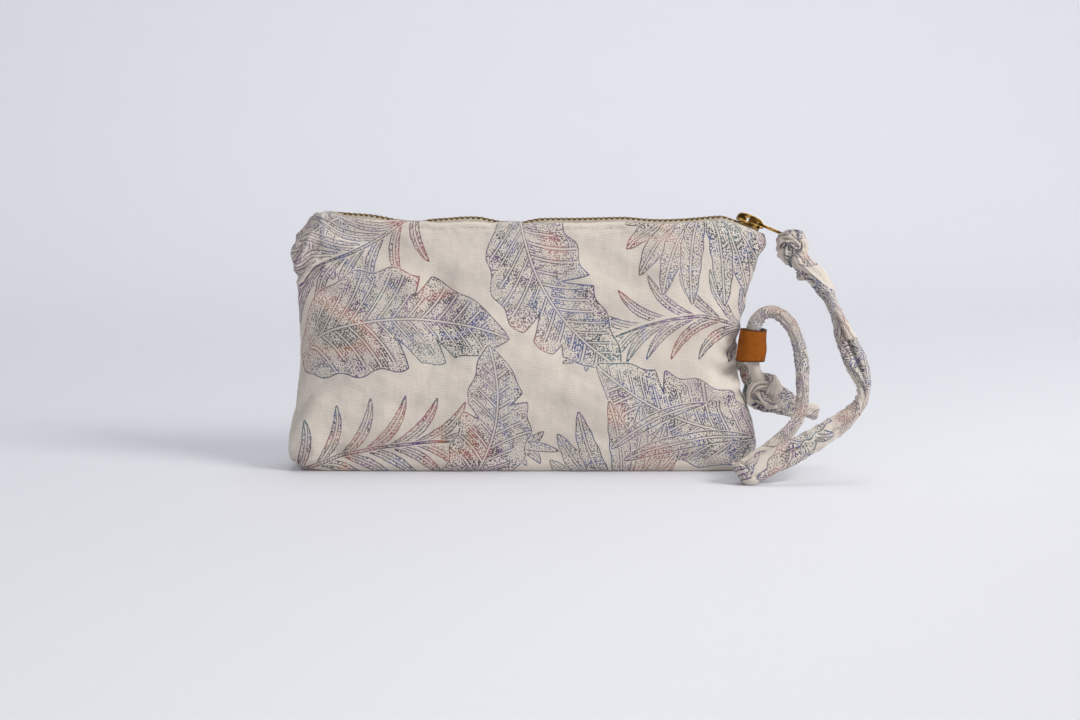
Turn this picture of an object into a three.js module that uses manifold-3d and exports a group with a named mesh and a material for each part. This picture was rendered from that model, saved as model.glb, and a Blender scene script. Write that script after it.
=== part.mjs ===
// Wrist pouch: a zipped cloth pouch on a boxed base, with a lining, a metal zip, a cloth strap knotted
// to the zip's pull, a side loop of the same strap with a leather bead, and a knot at the side seam.
// Millimetres, +X to the right, +Y to the back, +Z up. The origin is on the table, under the middle.
import * as THREE from "three";
import * as BufferGeometryUtils from "three/addons/utils/BufferGeometryUtils.js";
import Module from "manifold-3d";

const wasm = await Module();
wasm.setup();

// Pouch
const pouchWidth = 215;
const zipHeight = 119.2;
const baseDepth = 35;
const bellyDepth = 43;
const mouthDepth = 16;
const clothThickness = 0.7;
const liningThickness = 0.5;
const tapeThickness = 0.6;
const layerGap = 0.35;
const seamGap = 0.3;
// The seam across the base lies this far behind the middle, and its ends stop short of the sides.
const baseSeamBack = 4;
const baseFan = 0.9;
const baseMiddle = 0.55;
// The lip of cloth beside the zip
const lipLift = 0.7;
const lipRadius = 2.6;
// The lining stops below the zip, where its cloth can't catch in the slider.
const liningTopShare = 0.95;
// Zip
const toothPitch = 2.54;
const toothLength = 0.9;
const toothReach = 3.4;
const toothHeight = 2.5;
const toothOverlap = 0.9;
const cordedEdgeHeight = 1.4;
const cordedEdgeWidth = 1.2;
const chainRise = 0.35;
const chainStart = -87;
const tapeLeg = 9;
const tapeEndShare = 0.97;
const endDroop = THREE.MathUtils.degToRad(20);
const droopRounding = 1.5;
const bottomStopLength = 2.4;
const topStopLength = 1.9;
const topStopWidth = 1.2;
const zipEndSteps = 6;
// Slider
const sliderLength = 12.4;
const sliderWidth = 9.2;
const sliderTailWidth = 7.8;
const plateThickness = 0.9;
const channelAbove = 1.7;
const channelBelow = 2.1;
const lipWidth = 0.75;
const slotAbove = 0.65;
const slotBelow = 1.85;
const noseRound = 1.6;
// The post between the two plates, and how far it stands back from the nose
const postWidth = 2;
const postLength = 3.2;
const postSetback = 1;
// Parts of one casting run this far into each other.
const joinOverlap = 0.1;
const sliderInset = 6.4;
const crownLength = 10.6;
const crownWidth = 3;
const crownHeight = 3.1;
const crownThickness = 0.9;
const crownCorner = 1.5;
const springThickness = 0.3;
const springWidth = 1.8;
const springLength = 6.6;
const springBack = 0.4;
// Pull
const pullThickness = 1.1;
const pullLength = 21;
const pullEyeWidth = 6;
const pullNeckWidth = 4.6;
const pullEndWidth = 6;
const pullArmWidth = 1;
const pullBarThickness = 0.9;
const pullHoleLength = 4;
const pullHoleWidth = 3;
const pullHoleEdge = 1.6;
const pullEyeSlack = 1;
const pullShoulder = 2.6;
// Strap, knots and bead
const strapDiameter = 8;
const sideStrapDiameter = 6.4;
const tabDiameter = 4.4;
const strapSides = 8;
const foldHeight = 9.4;
const foldThickness = 14;
const foldLength = 4.6;
const pullKnotRadii = [7.2, 7.4, 9];
const sideKnotRadii = [9.2, 8.2, 10.2];
const beadLength = 15.4;
const beadDiameter = 13.6;
const beadWall = 1.9;
const beadEdge = 0.4;
const beadTilt = THREE.MathUtils.degToRad(2.7);
const stitchDiameter = 0.5;
const stitchBelowLip = 3;
const stitchSteps = 30;
// The least gap between pieces that touch
const touchGap = 0.3;

// How the pouch's outline bulges: each pair is a share of the height, and millimetres out of the side.
const leftEdgeOut = smoothLine([
  [0, 1.5], [0.12, 6], [0.3, 3], [0.5, 1.5], [0.68, 1.2], [0.8, 3.4], [0.92, 4.8], [1, 0],
]);
const rightEdgeOut = smoothLine([
  [0, -2.5], [0.12, 1.8], [0.24, 0], [0.36, -6.4], [0.5, -7], [0.6, -4], [0.8, 1], [0.93, 6.6], [1, 4.4],
]);
// How the zip waves: each pair is a share of half the width, and millimetres up.
const zipRise = smoothLine([
  [-1.02, -3.4], [-0.95, 1.4], [-0.88, 3.6], [-0.76, 2], [-0.5, 0.2], [0, 0], [0.5, 0.7], [0.85, 0.5],
  [1.1, 0.5],
]);
// The depth up the wall as a share of the base's, and how square the corners are there.
const bellyShare = bellyDepth / baseDepth;
const mouthShare = mouthDepth / baseDepth;
const depthShare = smoothLine([
  [0, 0.86], [0.035, 1], [0.25, bellyShare], [0.5, 1.06], [0.8, 0.68], [1, mouthShare],
]);
const squareness = smoothLine([[0, 7], [0.25, 4.6], [0.6, 3], [0.85, 5], [1, 16]]);

// A smooth line through a few pairs of place and value.
function smoothLine(pairs) {
  const slopeAt = (k) => {
    const before = pairs[Math.max(k - 1, 0)];
    const after = pairs[Math.min(k + 1, pairs.length - 1)];
    return (after[1] - before[1]) / (after[0] - before[0]);
  };
  return (place) => {
    let i = 0;
    while (i < pairs.length - 2 && place > pairs[i + 1][0]) i += 1;
    const [start, low] = pairs[i];
    const [end, high] = pairs[i + 1];
    const span = end - start;
    const s = THREE.MathUtils.clamp((place - start) / span, 0, 1);
    const rise = s * s * (3 - 2 * s);
    const bow = s * (1 - s) * (slopeAt(i) * (1 - s) - slopeAt(i + 1) * s) * span;
    return low + (high - low) * rise + bow;
  };
}

// The pouch's surface: across runs from -1 at the left seam to 1 at the right one.
function acrossX(across, share, inset) {
  const left = -pouchWidth / 2 - leftEdgeOut(share) + inset;
  const right = pouchWidth / 2 + rightEdgeOut(share) - inset;
  return THREE.MathUtils.lerp(left, right, (across + 1) / 2);
}

function mouthX(across) {
  return acrossX(across, 1, 0);
}

const sliderX = mouthX(1) - sliderInset;
const droopStart = sliderX - sliderLength;

function zipZ(x) {
  const past = x - droopStart;
  const eased = (past + Math.hypot(past, droopRounding)) / 2;
  return zipHeight + zipRise(x / (pouchWidth / 2)) - Math.tan(endDroop) * eased;
}

function planShare(across, share) {
  const n = squareness(share);
  return Math.pow(Math.max(0, 1 - Math.pow(Math.abs(across), n)), 1 / n);
}

// A point on the wall of one side (-1 front, 1 back), a share of the way up, inset into the cloth.
function wallPoint(side, across, share, inset) {
  const top = zipZ(mouthX(across)) + lipLift - lipRadius;
  const depth = (baseDepth / 2) * depthShare(share) - inset - seamGap / 2;
  return new THREE.Vector3(
    acrossX(across, share, inset),
    side * (seamGap / 2 + depth * planShare(across, share)),
    inset + share * (top - inset),
  );
}

// The base's cloth runs from its seam, behind the middle, to the wall's foot.
function basePoint(side, across, out, inset) {
  const foot = wallPoint(side, across, 0, inset);
  const seamY = baseSeamBack + (side * seamGap) / 2;
  foot.x *= 1 - (1 - out) * (baseDepth / pouchWidth) * baseFan;
  foot.y = THREE.MathUtils.lerp(seamY, foot.y, out);
  return foot;
}

// The lip rolls in towards the zip: turn is 0 where it leaves the wall and a right angle at its edge.
function lipPoint(side, across, turn, inset) {
  const radius = lipRadius - inset;
  const depth = mouthDepth / 2 - lipRadius + radius * Math.cos(turn) - seamGap / 2;
  const x = mouthX(across);
  return new THREE.Vector3(
    acrossX(across, 1, inset),
    side * (seamGap / 2 + depth * planShare(across, 1)),
    zipZ(x) + lipLift - lipRadius + radius * Math.sin(turn),
  );
}

// Steps from seam to seam, which crowd where the cloth turns the corner. Every layer shares them.
const acrossCount = 32;
const acrossSteps = Array.from({ length: acrossCount + 1 }, (_, i) => {
  const even = (2 * i) / acrossCount - 1;
  return Math.sin((Math.PI / 2) * Math.sin((Math.PI / 2) * even));
});
const zipSteps = acrossSteps.filter((across) => Math.abs(across) < tapeEndShare);

// A closed sheet between two grids of points, with its four rims.
function sheetBetween(outer, inner, flip) {
  const columns = outer.length;
  const rows = outer[0].length;
  const points = [...outer.flat(), ...inner.flat()];
  const inside = columns * rows;
  const faces = [];
  const quad = (a, b, c, d) => {
    faces.push(a, b, c, a, c, d);
  };
  const at = (i, j) => i * rows + j;
  for (let i = 0; i < columns - 1; i += 1) {
    for (let j = 0; j < rows - 1; j += 1) {
      const corners = [at(i, j), at(i + 1, j), at(i + 1, j + 1), at(i, j + 1)];
      quad(...corners);
      quad(...corners.reverse().map((k) => k + inside));
    }
    quad(at(i + 1, 0), at(i, 0), at(i, 0) + inside, at(i + 1, 0) + inside);
    quad(at(i, rows - 1), at(i + 1, rows - 1), at(i + 1, rows - 1) + inside, at(i, rows - 1) + inside);
  }
  for (let j = 0; j < rows - 1; j += 1) {
    const end = columns - 1;
    quad(at(0, j), at(0, j + 1), at(0, j + 1) + inside, at(0, j) + inside);
    quad(at(end, j + 1), at(end, j), at(end, j) + inside, at(end, j + 1) + inside);
  }
  const geometry = new THREE.BufferGeometry().setFromPoints(points);
  geometry.setIndex(flip ? faces.reverse() : faces);
  return geometry;
}

function sheet(side, steps, rowsAt, inset, thickness) {
  const grid = (depth) => steps.map((across) => rowsAt(across, depth));
  return sheetBetween(grid(inset), grid(inset + thickness), side > 0);
}

const wallShares = [0, 0.035, 0.1, 0.2, 0.34, 0.5, 0.66, 0.8, 0.91, 1];
const liningShares = wallShares.filter((share) => share < liningTopShare);

function outerPanel(side) {
  const rowsAt = (across, inset) => [
    basePoint(side, across, 0, inset),
    basePoint(side, across, baseMiddle, inset),
    ...wallShares.map((share) => wallPoint(side, across, share, inset)),
    lipPoint(side, across, Math.PI / 4, inset),
    lipPoint(side, across, Math.PI / 2, inset),
  ];
  return sheet(side, acrossSteps, rowsAt, 0, clothThickness);
}

const tapeInset = clothThickness + layerGap;
const liningInset = tapeInset + tapeThickness + layerGap;

function liningPanel(side) {
  const rowsAt = (across, inset) => [
    basePoint(side, across, 0, inset),
    basePoint(side, across, baseMiddle, inset),
    ...liningShares.map((share) => wallPoint(side, across, share, inset)),
  ];
  return sheet(side, acrossSteps, rowsAt, liningInset, liningThickness);
}

// The tape hangs between cloth and lining, rolls over with the lip and runs in to the teeth.
function zipTape(side) {
  const rowsAt = (across, inset) => {
    const x = mouthX(across);
    const top = zipZ(x) + lipLift - lipRadius;
    const foot = wallPoint(side, across, 1 - tapeLeg / top, inset);
    const edge = lipPoint(side, across, Math.PI / 2, inset);
    const inner = edge.clone();
    inner.y = side * (toothReach - toothOverlap + touchGap);
    inner.z = zipZ(x) + chainRise + (tapeInset + tapeThickness / 2 - inset);
    return [foot, wallPoint(side, across, 1, inset), lipPoint(side, across, Math.PI / 4, inset), edge, inner];
  };
  return sheet(side, zipSteps, rowsAt, tapeInset, tapeThickness);
}

function solidOf(geometry) {
  const plain = geometry.clone();
  plain.deleteAttribute("normal");
  plain.deleteAttribute("uv");
  const merged = BufferGeometryUtils.mergeVertices(plain, 1e-4);
  return new wasm.Manifold(
    new wasm.Mesh({
      numProp: 3,
      vertProperties: new Float32Array(merged.attributes.position.array),
      triVerts: new Uint32Array(merged.index.array),
    }),
  );
}

function geometryOf(solid) {
  const mesh = solid.getMesh();
  const geometry = new THREE.BufferGeometry();
  geometry.setAttribute("position", new THREE.BufferAttribute(mesh.vertProperties, 3));
  geometry.setIndex(new THREE.BufferAttribute(mesh.triVerts, 1));
  return geometry;
}

function joined(geometries) {
  return geometryOf(geometries.map(solidOf).reduce((sum, next) => sum.add(next)));
}

function cut(geometry, ...cutters) {
  return geometryOf(cutters.map(solidOf).reduce((rest, next) => rest.subtract(next), solidOf(geometry)));
}

// A box given by its middle and its size.
function block(x, y, z, long, wide, high) {
  return new THREE.BoxGeometry(long, wide, high).translate(x, y, z);
}

function ellipsoid(centre, radii, grow) {
  const [rx, ry, rz] = radii.map((r) => r + grow);
  return new THREE.SphereGeometry(1, 18, 12).scale(rx, ry, rz).translate(...centre);
}

// One row of teeth, clasped on the corded edge of its tape. The other row fills its gaps.
const chainEnd = sliderX + 0.2;
const chainLength = chainEnd - chainStart;
const toothCount = Math.floor(chainLength / toothPitch);
const edgeSteps = 44;

function chainZ(x) {
  return zipZ(x) + chainRise;
}

function teethRow(side) {
  const first = chainStart + toothLength / 2 + (side > 0 ? toothPitch / 2 : 0);
  const edge = new THREE.BoxGeometry(chainLength, cordedEdgeWidth, cordedEdgeHeight, edgeSteps, 1, 1);
  const outside = toothReach - toothOverlap;
  edge.translate(chainStart + chainLength / 2, side * (outside - cordedEdgeWidth / 2), 0);
  const places = edge.attributes.position;
  for (let i = 0; i < places.count; i += 1) {
    places.setZ(i, places.getZ(i) + chainZ(places.getX(i)));
  }
  const teeth = [edge];
  for (let i = 0; i < toothCount; i += 1) {
    const x = first + i * toothPitch;
    const middle = side * (toothReach / 2 - toothOverlap);
    teeth.push(block(x, middle, chainZ(x), toothLength, toothReach, toothHeight));
  }
  return joined(teeth);
}

function topStop(side) {
  const x = chainEnd + touchGap + topStopLength / 2;
  const outside = toothReach - toothOverlap;
  const stop = block(0, 0, 0, topStopLength, topStopWidth, toothHeight);
  stop.rotateY(endDroop);
  return stop.translate(x, side * (outside - topStopWidth / 2), chainZ(x));
}

function bottomStop() {
  const x = chainStart - bottomStopLength / 2 - touchGap;
  const wide = 2 * (toothReach - toothOverlap);
  return block(x, 0, chainZ(x), bottomStopLength, wide, toothHeight);
}

// The cloth that covers the zip's left end, from the bottom stop to the corner.
function zipEndTab() {
  const from = acrossX(-tapeEndShare, 1, liningInset);
  const to = chainStart - 2 * touchGap - bottomStopLength;
  const wide = 2 * (toothReach - toothOverlap);
  const tab = new THREE.BoxGeometry(to - from, wide, toothHeight, zipEndSteps, 2, 1);
  const places = tab.attributes.position;
  for (let i = 0; i < places.count; i += 1) {
    const x = places.getX(i) + (from + to) / 2;
    const crown = Math.abs(places.getY(i)) < touchGap ? lipLift : 0;
    places.setXYZ(i, x, places.getY(i), places.getZ(i) + chainZ(x) + crown);
  }
  return tab;
}

// The slider's outline is wider at the nose, where the two rows part.
function sliderPlate(z) {
  const half = sliderLength / 2;
  const nose = sliderWidth / 2;
  const tail = sliderTailWidth / 2;
  const outline = new THREE.Shape();
  outline.moveTo(-half, -tail);
  outline.lineTo(0, -nose);
  outline.lineTo(half - noseRound, -nose);
  outline.quadraticCurveTo(half, -nose, half, -nose + noseRound);
  outline.lineTo(half, nose - noseRound);
  outline.quadraticCurveTo(half, nose, half - noseRound, nose);
  outline.lineTo(0, nose);
  outline.lineTo(-half, tail);
  outline.closePath();
  const options = { depth: plateThickness, bevelEnabled: false, curveSegments: 4 };
  return new THREE.ExtrudeGeometry(outline, options).translate(0, 0, z);
}

function sliderLip(side, from, to) {
  const outline = new THREE.Shape();
  const half = sliderLength / 2 - noseRound - joinOverlap;
  const outer = sliderWidth / 2 - joinOverlap;
  const tail = sliderTailWidth / 2;
  outline.moveTo(-half, side * tail);
  outline.lineTo(0, side * outer);
  outline.lineTo(half, side * outer);
  outline.lineTo(half, side * (outer - lipWidth));
  outline.lineTo(0, side * (outer - lipWidth));
  outline.lineTo(-half, side * (tail - lipWidth));
  outline.closePath();
  const options = { depth: to - from, bevelEnabled: false };
  return new THREE.ExtrudeGeometry(outline, options).translate(0, 0, from);
}

function sliderBody() {
  const pieces = [sliderPlate(channelAbove), sliderPlate(-channelBelow - plateThickness)];
  for (const side of [-1, 1]) {
    pieces.push(sliderLip(side, slotAbove, channelAbove + joinOverlap));
    pieces.push(sliderLip(side, -channelBelow - joinOverlap, -slotBelow));
  }
  const postX = sliderLength / 2 - postSetback - postLength / 2;
  const postHeight = channelAbove + channelBelow + 2 * joinOverlap;
  const post = new THREE.CylinderGeometry(postWidth / 2, postWidth / 2, postHeight, 12);
  post.rotateX(Math.PI / 2).scale(postLength / postWidth, 1, 1);
  pieces.push(post.translate(postX, 0, (channelAbove - channelBelow) / 2));
  return joined(pieces);
}

const plateTop = channelAbove + plateThickness;

// The crown is a strap of metal that arches over the pull's bar.
function sliderCrown() {
  const half = crownLength / 2;
  const inner = half - crownThickness;
  const foot = plateTop + touchGap;
  const top = plateTop + crownHeight;
  const under = top - crownThickness;
  const outline = new THREE.Shape();
  outline.moveTo(-half, foot);
  outline.lineTo(-half, top - crownCorner);
  outline.quadraticCurveTo(-half, top, -half + crownCorner, top);
  outline.lineTo(half - crownCorner, top);
  outline.quadraticCurveTo(half, top, half, top - crownCorner);
  outline.lineTo(half, foot);
  outline.lineTo(inner, foot);
  outline.lineTo(inner, top - crownCorner);
  outline.quadraticCurveTo(inner, under, half - crownCorner, under);
  outline.lineTo(-half + crownCorner, under);
  outline.quadraticCurveTo(-inner, under, -inner, top - crownCorner);
  outline.lineTo(-inner, foot);
  outline.closePath();
  const options = { depth: crownWidth, bevelEnabled: false, curveSegments: 5 };
  const crown = new THREE.ExtrudeGeometry(outline, options).rotateX(Math.PI / 2);
  return crown.translate(0, crownWidth / 2, 0);
}

function lockSpring() {
  const under = plateTop + crownHeight - crownThickness - touchGap - springThickness / 2;
  return block(-springBack, 0, under, springLength, springWidth, springThickness);
}

const pullBarX = crownLength / 2 - crownThickness - touchGap - pullBarThickness / 2;
const pullBarZ = plateTop + touchGap + pullThickness / 2;

// The pull's outline, in its own plane, from the middle of its bar.
function pullTab() {
  const eyeHalf = pullEyeWidth / 2;
  const neckHalf = pullNeckWidth / 2;
  const endHalf = pullEndWidth / 2;
  const openEnd = crownThickness + pullBarThickness / 2 + pullEyeSlack;
  const shoulder = openEnd + pullShoulder;
  const tip = pullLength - pullEndWidth / 2;
  const outline = new THREE.Shape();
  outline.moveTo(-pullBarThickness / 2, -eyeHalf);
  outline.lineTo(openEnd, -eyeHalf);
  outline.lineTo(shoulder, -neckHalf);
  outline.lineTo(tip, -endHalf);
  outline.absarc(tip, 0, endHalf, -Math.PI / 2, Math.PI / 2, false);
  outline.lineTo(shoulder, neckHalf);
  outline.lineTo(openEnd, eyeHalf);
  outline.lineTo(-pullBarThickness / 2, eyeHalf);
  outline.closePath();
  const window = new THREE.Path();
  window.moveTo(pullBarThickness / 2, -eyeHalf + pullArmWidth);
  window.lineTo(openEnd, -eyeHalf + pullArmWidth);
  window.lineTo(openEnd, eyeHalf - pullArmWidth);
  window.lineTo(pullBarThickness / 2, eyeHalf - pullArmWidth);
  window.closePath();
  const hole = new THREE.Path();
  const holeX = pullLength - pullHoleEdge - pullHoleLength / 2;
  hole.absellipse(holeX, 0, pullHoleLength / 2, pullHoleWidth / 2, 0, 2 * Math.PI, true);
  outline.holes.push(window, hole);
  const options = { depth: pullThickness, bevelEnabled: false, curveSegments: 8 };
  return new THREE.ExtrudeGeometry(outline, options).translate(0, 0, -pullThickness / 2);
}

function routeOf(points) {
  return new THREE.CatmullRomCurve3(points.map((p) => new THREE.Vector3(...p)), false, "centripetal");
}

// The stretch of a route between two shares of its length.
class Stretch extends THREE.Curve {
  constructor(route, from, to) {
    super();
    this.route = route;
    this.from = from;
    this.to = to;
  }

  getPoint(t) {
    return this.route.getPointAt(THREE.MathUtils.lerp(this.from, this.to, t));
  }
}

// A length of strap along a route.
function strapAlong(path, diameter, steps) {
  const section = new THREE.Shape();
  for (let i = 0; i < strapSides; i += 1) {
    const angle = (2 * Math.PI * i) / strapSides;
    const x = (diameter / 2) * Math.cos(angle);
    const y = (diameter / 2) * Math.sin(angle);
    if (i === 0) section.moveTo(x, y);
    else section.lineTo(x, y);
  }
  section.closePath();
  return new THREE.ExtrudeGeometry(section, { extrudePath: path, steps, bevelEnabled: false });
}

// The strap's routes, from the pull's knot to the fold on the table, and back up to the side.
const pullKnotCentre = [125.4, -7.5, 105.6];
const sideKnotCentre = [113.6, -6.5, 37];
const frontRoute = [
  [127.6, -11.5, 101.5], [131.5, -15.5, 98], [136.6, -19, 92.6], [140.6, -22, 86], [143.6, -25, 78.6],
  [146.4, -27.6, 71.4], [148.6, -30, 64.6], [151, -32, 58.4], [153.4, -34.4, 52], [155.1, -36.6, 46.6],
  [155.6, -38, 42], [154.4, -39.6, 37.6], [151, -41, 33.4], [145.6, -42.4, 28.8], [139, -44, 24.4],
  [131.6, -46, 20.2], [123.6, -48, 16.2], [115, -49.6, 12], [107, -50.8, 8.2], [100.6, -51.4, 5.6],
];
const sideRoute = [
  [99.4, -43.4, 6], [105.4, -42, 10], [112, -40, 14.8], [119.4, -37, 20.8], [125, -34, 26], [128, -31, 32],
  [128.9, -28, 39], [129.1, -25, 47], [129, -22.4, 54], [128.2, -20, 60.3], [126.3, -17.8, 66.2],
  [123.3, -15.8, 71.8], [119.6, -14, 75.4], [115.2, -12.8, 76.6], [111.2, -12.2, 75], [108.4, -12, 71.2],
  [107.2, -12, 66], [106.8, -12, 60.4], [106.9, -12, 55], [107.8, -11.2, 50.4], [109.8, -9.8, 45.6],
  [112, -8, 41],
];
const tailRoute = [[119, -4.5, 34], [126, -2, 30.4], [133, 0, 28], [141.4, 2, 26]];
const tabRoute = [
  [102.3, -0.6, 49.4], [104, -1, 48.9], [104.8, -2.6, 45], [106.2, -4.2, 41.5], [109, -6, 38],
];
// Shares of the front route where its first two stretches end
const upperEnd = 0.34;
const middleEnd = 0.67;
const foldPlace = [98.8, -47.4, 0.4];
const beadPlace = [106.8, -12, 60.4];

const pullKnotCutter = ellipsoid(pullKnotCentre, pullKnotRadii, touchGap);
const sideKnotCutter = ellipsoid(sideKnotCentre, sideKnotRadii, touchGap);

// Where the strap turns back on itself: half a turn of flattened cloth, standing on its edge.
function strapFold(grow) {
  const half = foldThickness / 2 + grow;
  const outline = new THREE.Shape();
  outline.moveTo(grow, -half);
  outline.lineTo(grow, half);
  outline.absellipse(0, 0, foldLength + grow, half, Math.PI / 2, (3 * Math.PI) / 2, false);
  outline.closePath();
  const options = { depth: foldHeight, bevelEnabled: false, curveSegments: 10 };
  return new THREE.ExtrudeGeometry(outline, options).translate(...foldPlace);
}

function leatherBead() {
  const outer = beadDiameter / 2;
  const inner = outer - beadWall;
  const half = beadLength / 2;
  const profile = [
    [inner, -half], [outer - beadEdge, -half], [outer, -half + beadEdge],
    [outer, half - beadEdge], [outer - beadEdge, half], [inner, half], [inner, -half],
  ];
  const bead = new THREE.LatheGeometry(profile.map(([r, h]) => new THREE.Vector2(r, h)), 28);
  return bead.rotateX(Math.PI / 2).rotateY(beadTilt);
}

function zipStitch(side) {
  const above = zipHeight + lipLift - lipRadius;
  const share = 1 - (stitchBelowLip - lipRadius) / above;
  const lift = stitchDiameter / 2 + touchGap;
  const points = zipSteps.map((across) => wallPoint(side, across, share, -lift).toArray());
  return strapAlong(routeOf(points), stitchDiameter, stitchSteps);
}

const looks = {
  cloth: [0xcfc6ba, 0.9, 0],
  lining: [0xb9ad9c, 0.8, 0],
  tape: [0x9a8f80, 0.85, 0],
  brass: [0x8a6a30, 0.35, 1],
  thread: [0xc4b9a8, 0.8, 0],
  leather: [0x9c5a1e, 0.65, 0],
};

function named(name, look, geometry) {
  const [color, roughness, metalness] = looks[look];
  const mesh = new THREE.Mesh(geometry, new THREE.MeshStandardMaterial({ color, roughness, metalness }));
  mesh.name = name;
  return mesh;
}

const pouch = new THREE.Group();
for (const [side, word] of [[-1, "front"], [1, "back"]]) {
  pouch.add(
    named("outer_" + word + "_panel", "cloth", outerPanel(side)),
    named("lining_" + word, "lining", liningPanel(side)),
    named("zip_tape_" + word, "tape", zipTape(side)),
    named("zip_teeth_" + word, "brass", teethRow(side)),
    named("top_stop_" + word, "brass", topStop(side)),
    named("zip_stitching_" + word, "thread", zipStitch(side)),
  );
}
pouch.add(named("bottom_stop", "brass", bottomStop()), named("zip_end_tab", "cloth", zipEndTab()));

const slider = new THREE.Group();
slider.position.set(sliderX, 0, chainZ(sliderX));
slider.rotation.y = endDroop;
slider.add(
  named("slider_body", "brass", sliderBody()),
  named("slider_crown", "brass", sliderCrown()),
  named("slider_lock_spring", "brass", lockSpring()),
);

const pull = new THREE.Group();
pull.position.set(pullBarX, 0, pullBarZ);
const pullMesh = named("pull_tab", "brass", pullTab());
pull.add(pullMesh);
slider.add(pull);
slider.updateMatrixWorld(true);

// The knot closes round the end of the pull, so it is cut clear of it.
function pullClearance() {
  const room = block(
    pullLength / 2, 0, 0,
    pullLength + 2 * touchGap, pullEyeWidth + 2 * touchGap, pullThickness + 2 * touchGap,
  );
  return room.applyMatrix4(pullMesh.matrixWorld);
}

const frontPath = routeOf(frontRoute);
const frontGap = touchGap / frontPath.getLength();

function frontStretch(from, to, steps) {
  return strapAlong(new Stretch(frontPath, from, to), strapDiameter, steps);
}

const strap = new THREE.Group();
strap.add(
  named("pull_knot", "cloth", cut(ellipsoid(pullKnotCentre, pullKnotRadii, 0), pullClearance())),
  named("strap_upper", "cloth", cut(frontStretch(0, upperEnd, 10), pullKnotCutter)),
  named("strap_middle", "cloth", frontStretch(upperEnd + frontGap, middleEnd, 10)),
  named("strap_lower", "cloth", cut(frontStretch(middleEnd + frontGap, 1, 10), strapFold(touchGap))),
  named("strap_fold", "cloth", strapFold(0)),
  named(
    "strap_side_run",
    "cloth",
    cut(strapAlong(routeOf(sideRoute), sideStrapDiameter, 40), strapFold(touchGap), sideKnotCutter),
  ),
  named("side_knot", "cloth", ellipsoid(sideKnotCentre, sideKnotRadii, 0)),
  named("strap_tail", "cloth", cut(strapAlong(routeOf(tailRoute), strapDiameter, 6), sideKnotCutter)),
  named("side_tab", "cloth", cut(strapAlong(routeOf(tabRoute), tabDiameter, 10), sideKnotCutter)),
);

const bead = named("leather_bead", "leather", leatherBead());
bead.position.set(...beadPlace);

const wristPouch = new THREE.Group();
wristPouch.add(pouch, slider, strap, bead);

export default wristPouch;
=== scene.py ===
"""A zipped cloth pouch with a printed leaf pattern, a cloth strap on its zip and a leather bead.

Lengths are metres. Flat cloth, on which the leaves are laid out, is measured in millimetres.
"""
import math

import bmesh
import bpy
import numpy as np
from bpy.props import FloatProperty, FloatVectorProperty, IntProperty, PointerProperty
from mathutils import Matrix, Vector


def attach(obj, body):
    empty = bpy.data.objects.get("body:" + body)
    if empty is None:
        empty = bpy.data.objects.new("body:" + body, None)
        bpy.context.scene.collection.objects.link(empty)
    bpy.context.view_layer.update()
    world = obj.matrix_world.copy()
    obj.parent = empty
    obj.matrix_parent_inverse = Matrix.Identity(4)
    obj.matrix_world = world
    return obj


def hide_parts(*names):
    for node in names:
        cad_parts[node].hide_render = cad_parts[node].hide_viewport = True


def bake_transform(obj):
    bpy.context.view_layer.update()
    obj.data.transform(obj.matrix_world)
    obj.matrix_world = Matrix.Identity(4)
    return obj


bl_info = {
    "name": "Wrist Pouch",
    "version": (1, 0, 0),
    "blender": (4, 5, 0),
    "location": "View3D > Sidebar > Pouch",
    "description": "Builds a zipped cloth pouch with its lining, zip, strap, knots and leather bead",
    "category": "Add Mesh",
}

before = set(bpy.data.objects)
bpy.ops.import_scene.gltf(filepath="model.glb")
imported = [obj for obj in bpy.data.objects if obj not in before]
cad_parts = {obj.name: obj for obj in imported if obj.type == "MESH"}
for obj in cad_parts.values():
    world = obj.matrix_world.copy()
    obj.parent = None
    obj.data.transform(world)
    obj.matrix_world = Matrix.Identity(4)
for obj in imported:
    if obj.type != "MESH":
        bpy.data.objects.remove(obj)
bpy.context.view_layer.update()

MM = 0.001


# Settings


def length_setting(name, description, default):
    return FloatProperty(name=name, description=description, default=default, unit="LENGTH")


def angle_setting(name, description, default):
    return FloatProperty(name=name, description=description, default=default, unit="ROTATION")


def colour_setting(name, description, default):
    kind = {"subtype": "COLOR", "size": 3}
    return FloatVectorProperty(name=name, description=description, default=default, **kind)


class ClothSettings(bpy.types.PropertyGroup):
    """The pouch's cloth and its print."""

    width: length_setting("Width", "Pouch width", 0.215)
    height: length_setting("Height", "Height of the zip", 0.1192)
    base: length_setting("Base depth", "Depth at the base", 0.035)
    belly: length_setting("Belly depth", "Depth at the belly", 0.043)
    mouth: length_setting("Mouth depth", "Depth at the zip", 0.016)
    step: length_setting("Mesh step", "Size of the mesh's faces", 0.001)
    rib: FloatProperty(name="Rib pitch", description="Pitch of the weave's ribs in mm", default=0.95)
    colour: colour_setting("Cloth", "Ground colour", (0.7, 0.628, 0.555))
    ink: colour_setting("Ink", "Print colour", (0.075, 0.075, 0.095))
    thread: colour_setting("Thread", "Sewing thread colour", (0.64, 0.575, 0.5))
    inside: colour_setting("Lining", "Lining colour", (0.48, 0.42, 0.34))


class ZipSettings(bpy.types.PropertyGroup):
    """The zip, its slider and its pull."""

    pitch: length_setting("Pitch", "Pitch of one row of teeth", 0.00254)
    droop: angle_setting("Droop", "Slope of the closed end", 0.349066)
    teeth: IntProperty(name="Teeth", description="Teeth in a row", default=76, min=2)
    # The bright colour shows on the edges as a painted highlight, and the dark one below is painted shade in
    # hollows and on flat faces
    brass: colour_setting("Brass", "Bright brass", (0.72, 0.43, 0.11))
    brass_shade: colour_setting("Aged brass", "Dark brass in hollows", (0.03, 0.013, 0.004))
    tape: colour_setting("Tape", "Tape colour", (0.5, 0.44, 0.36))


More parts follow.
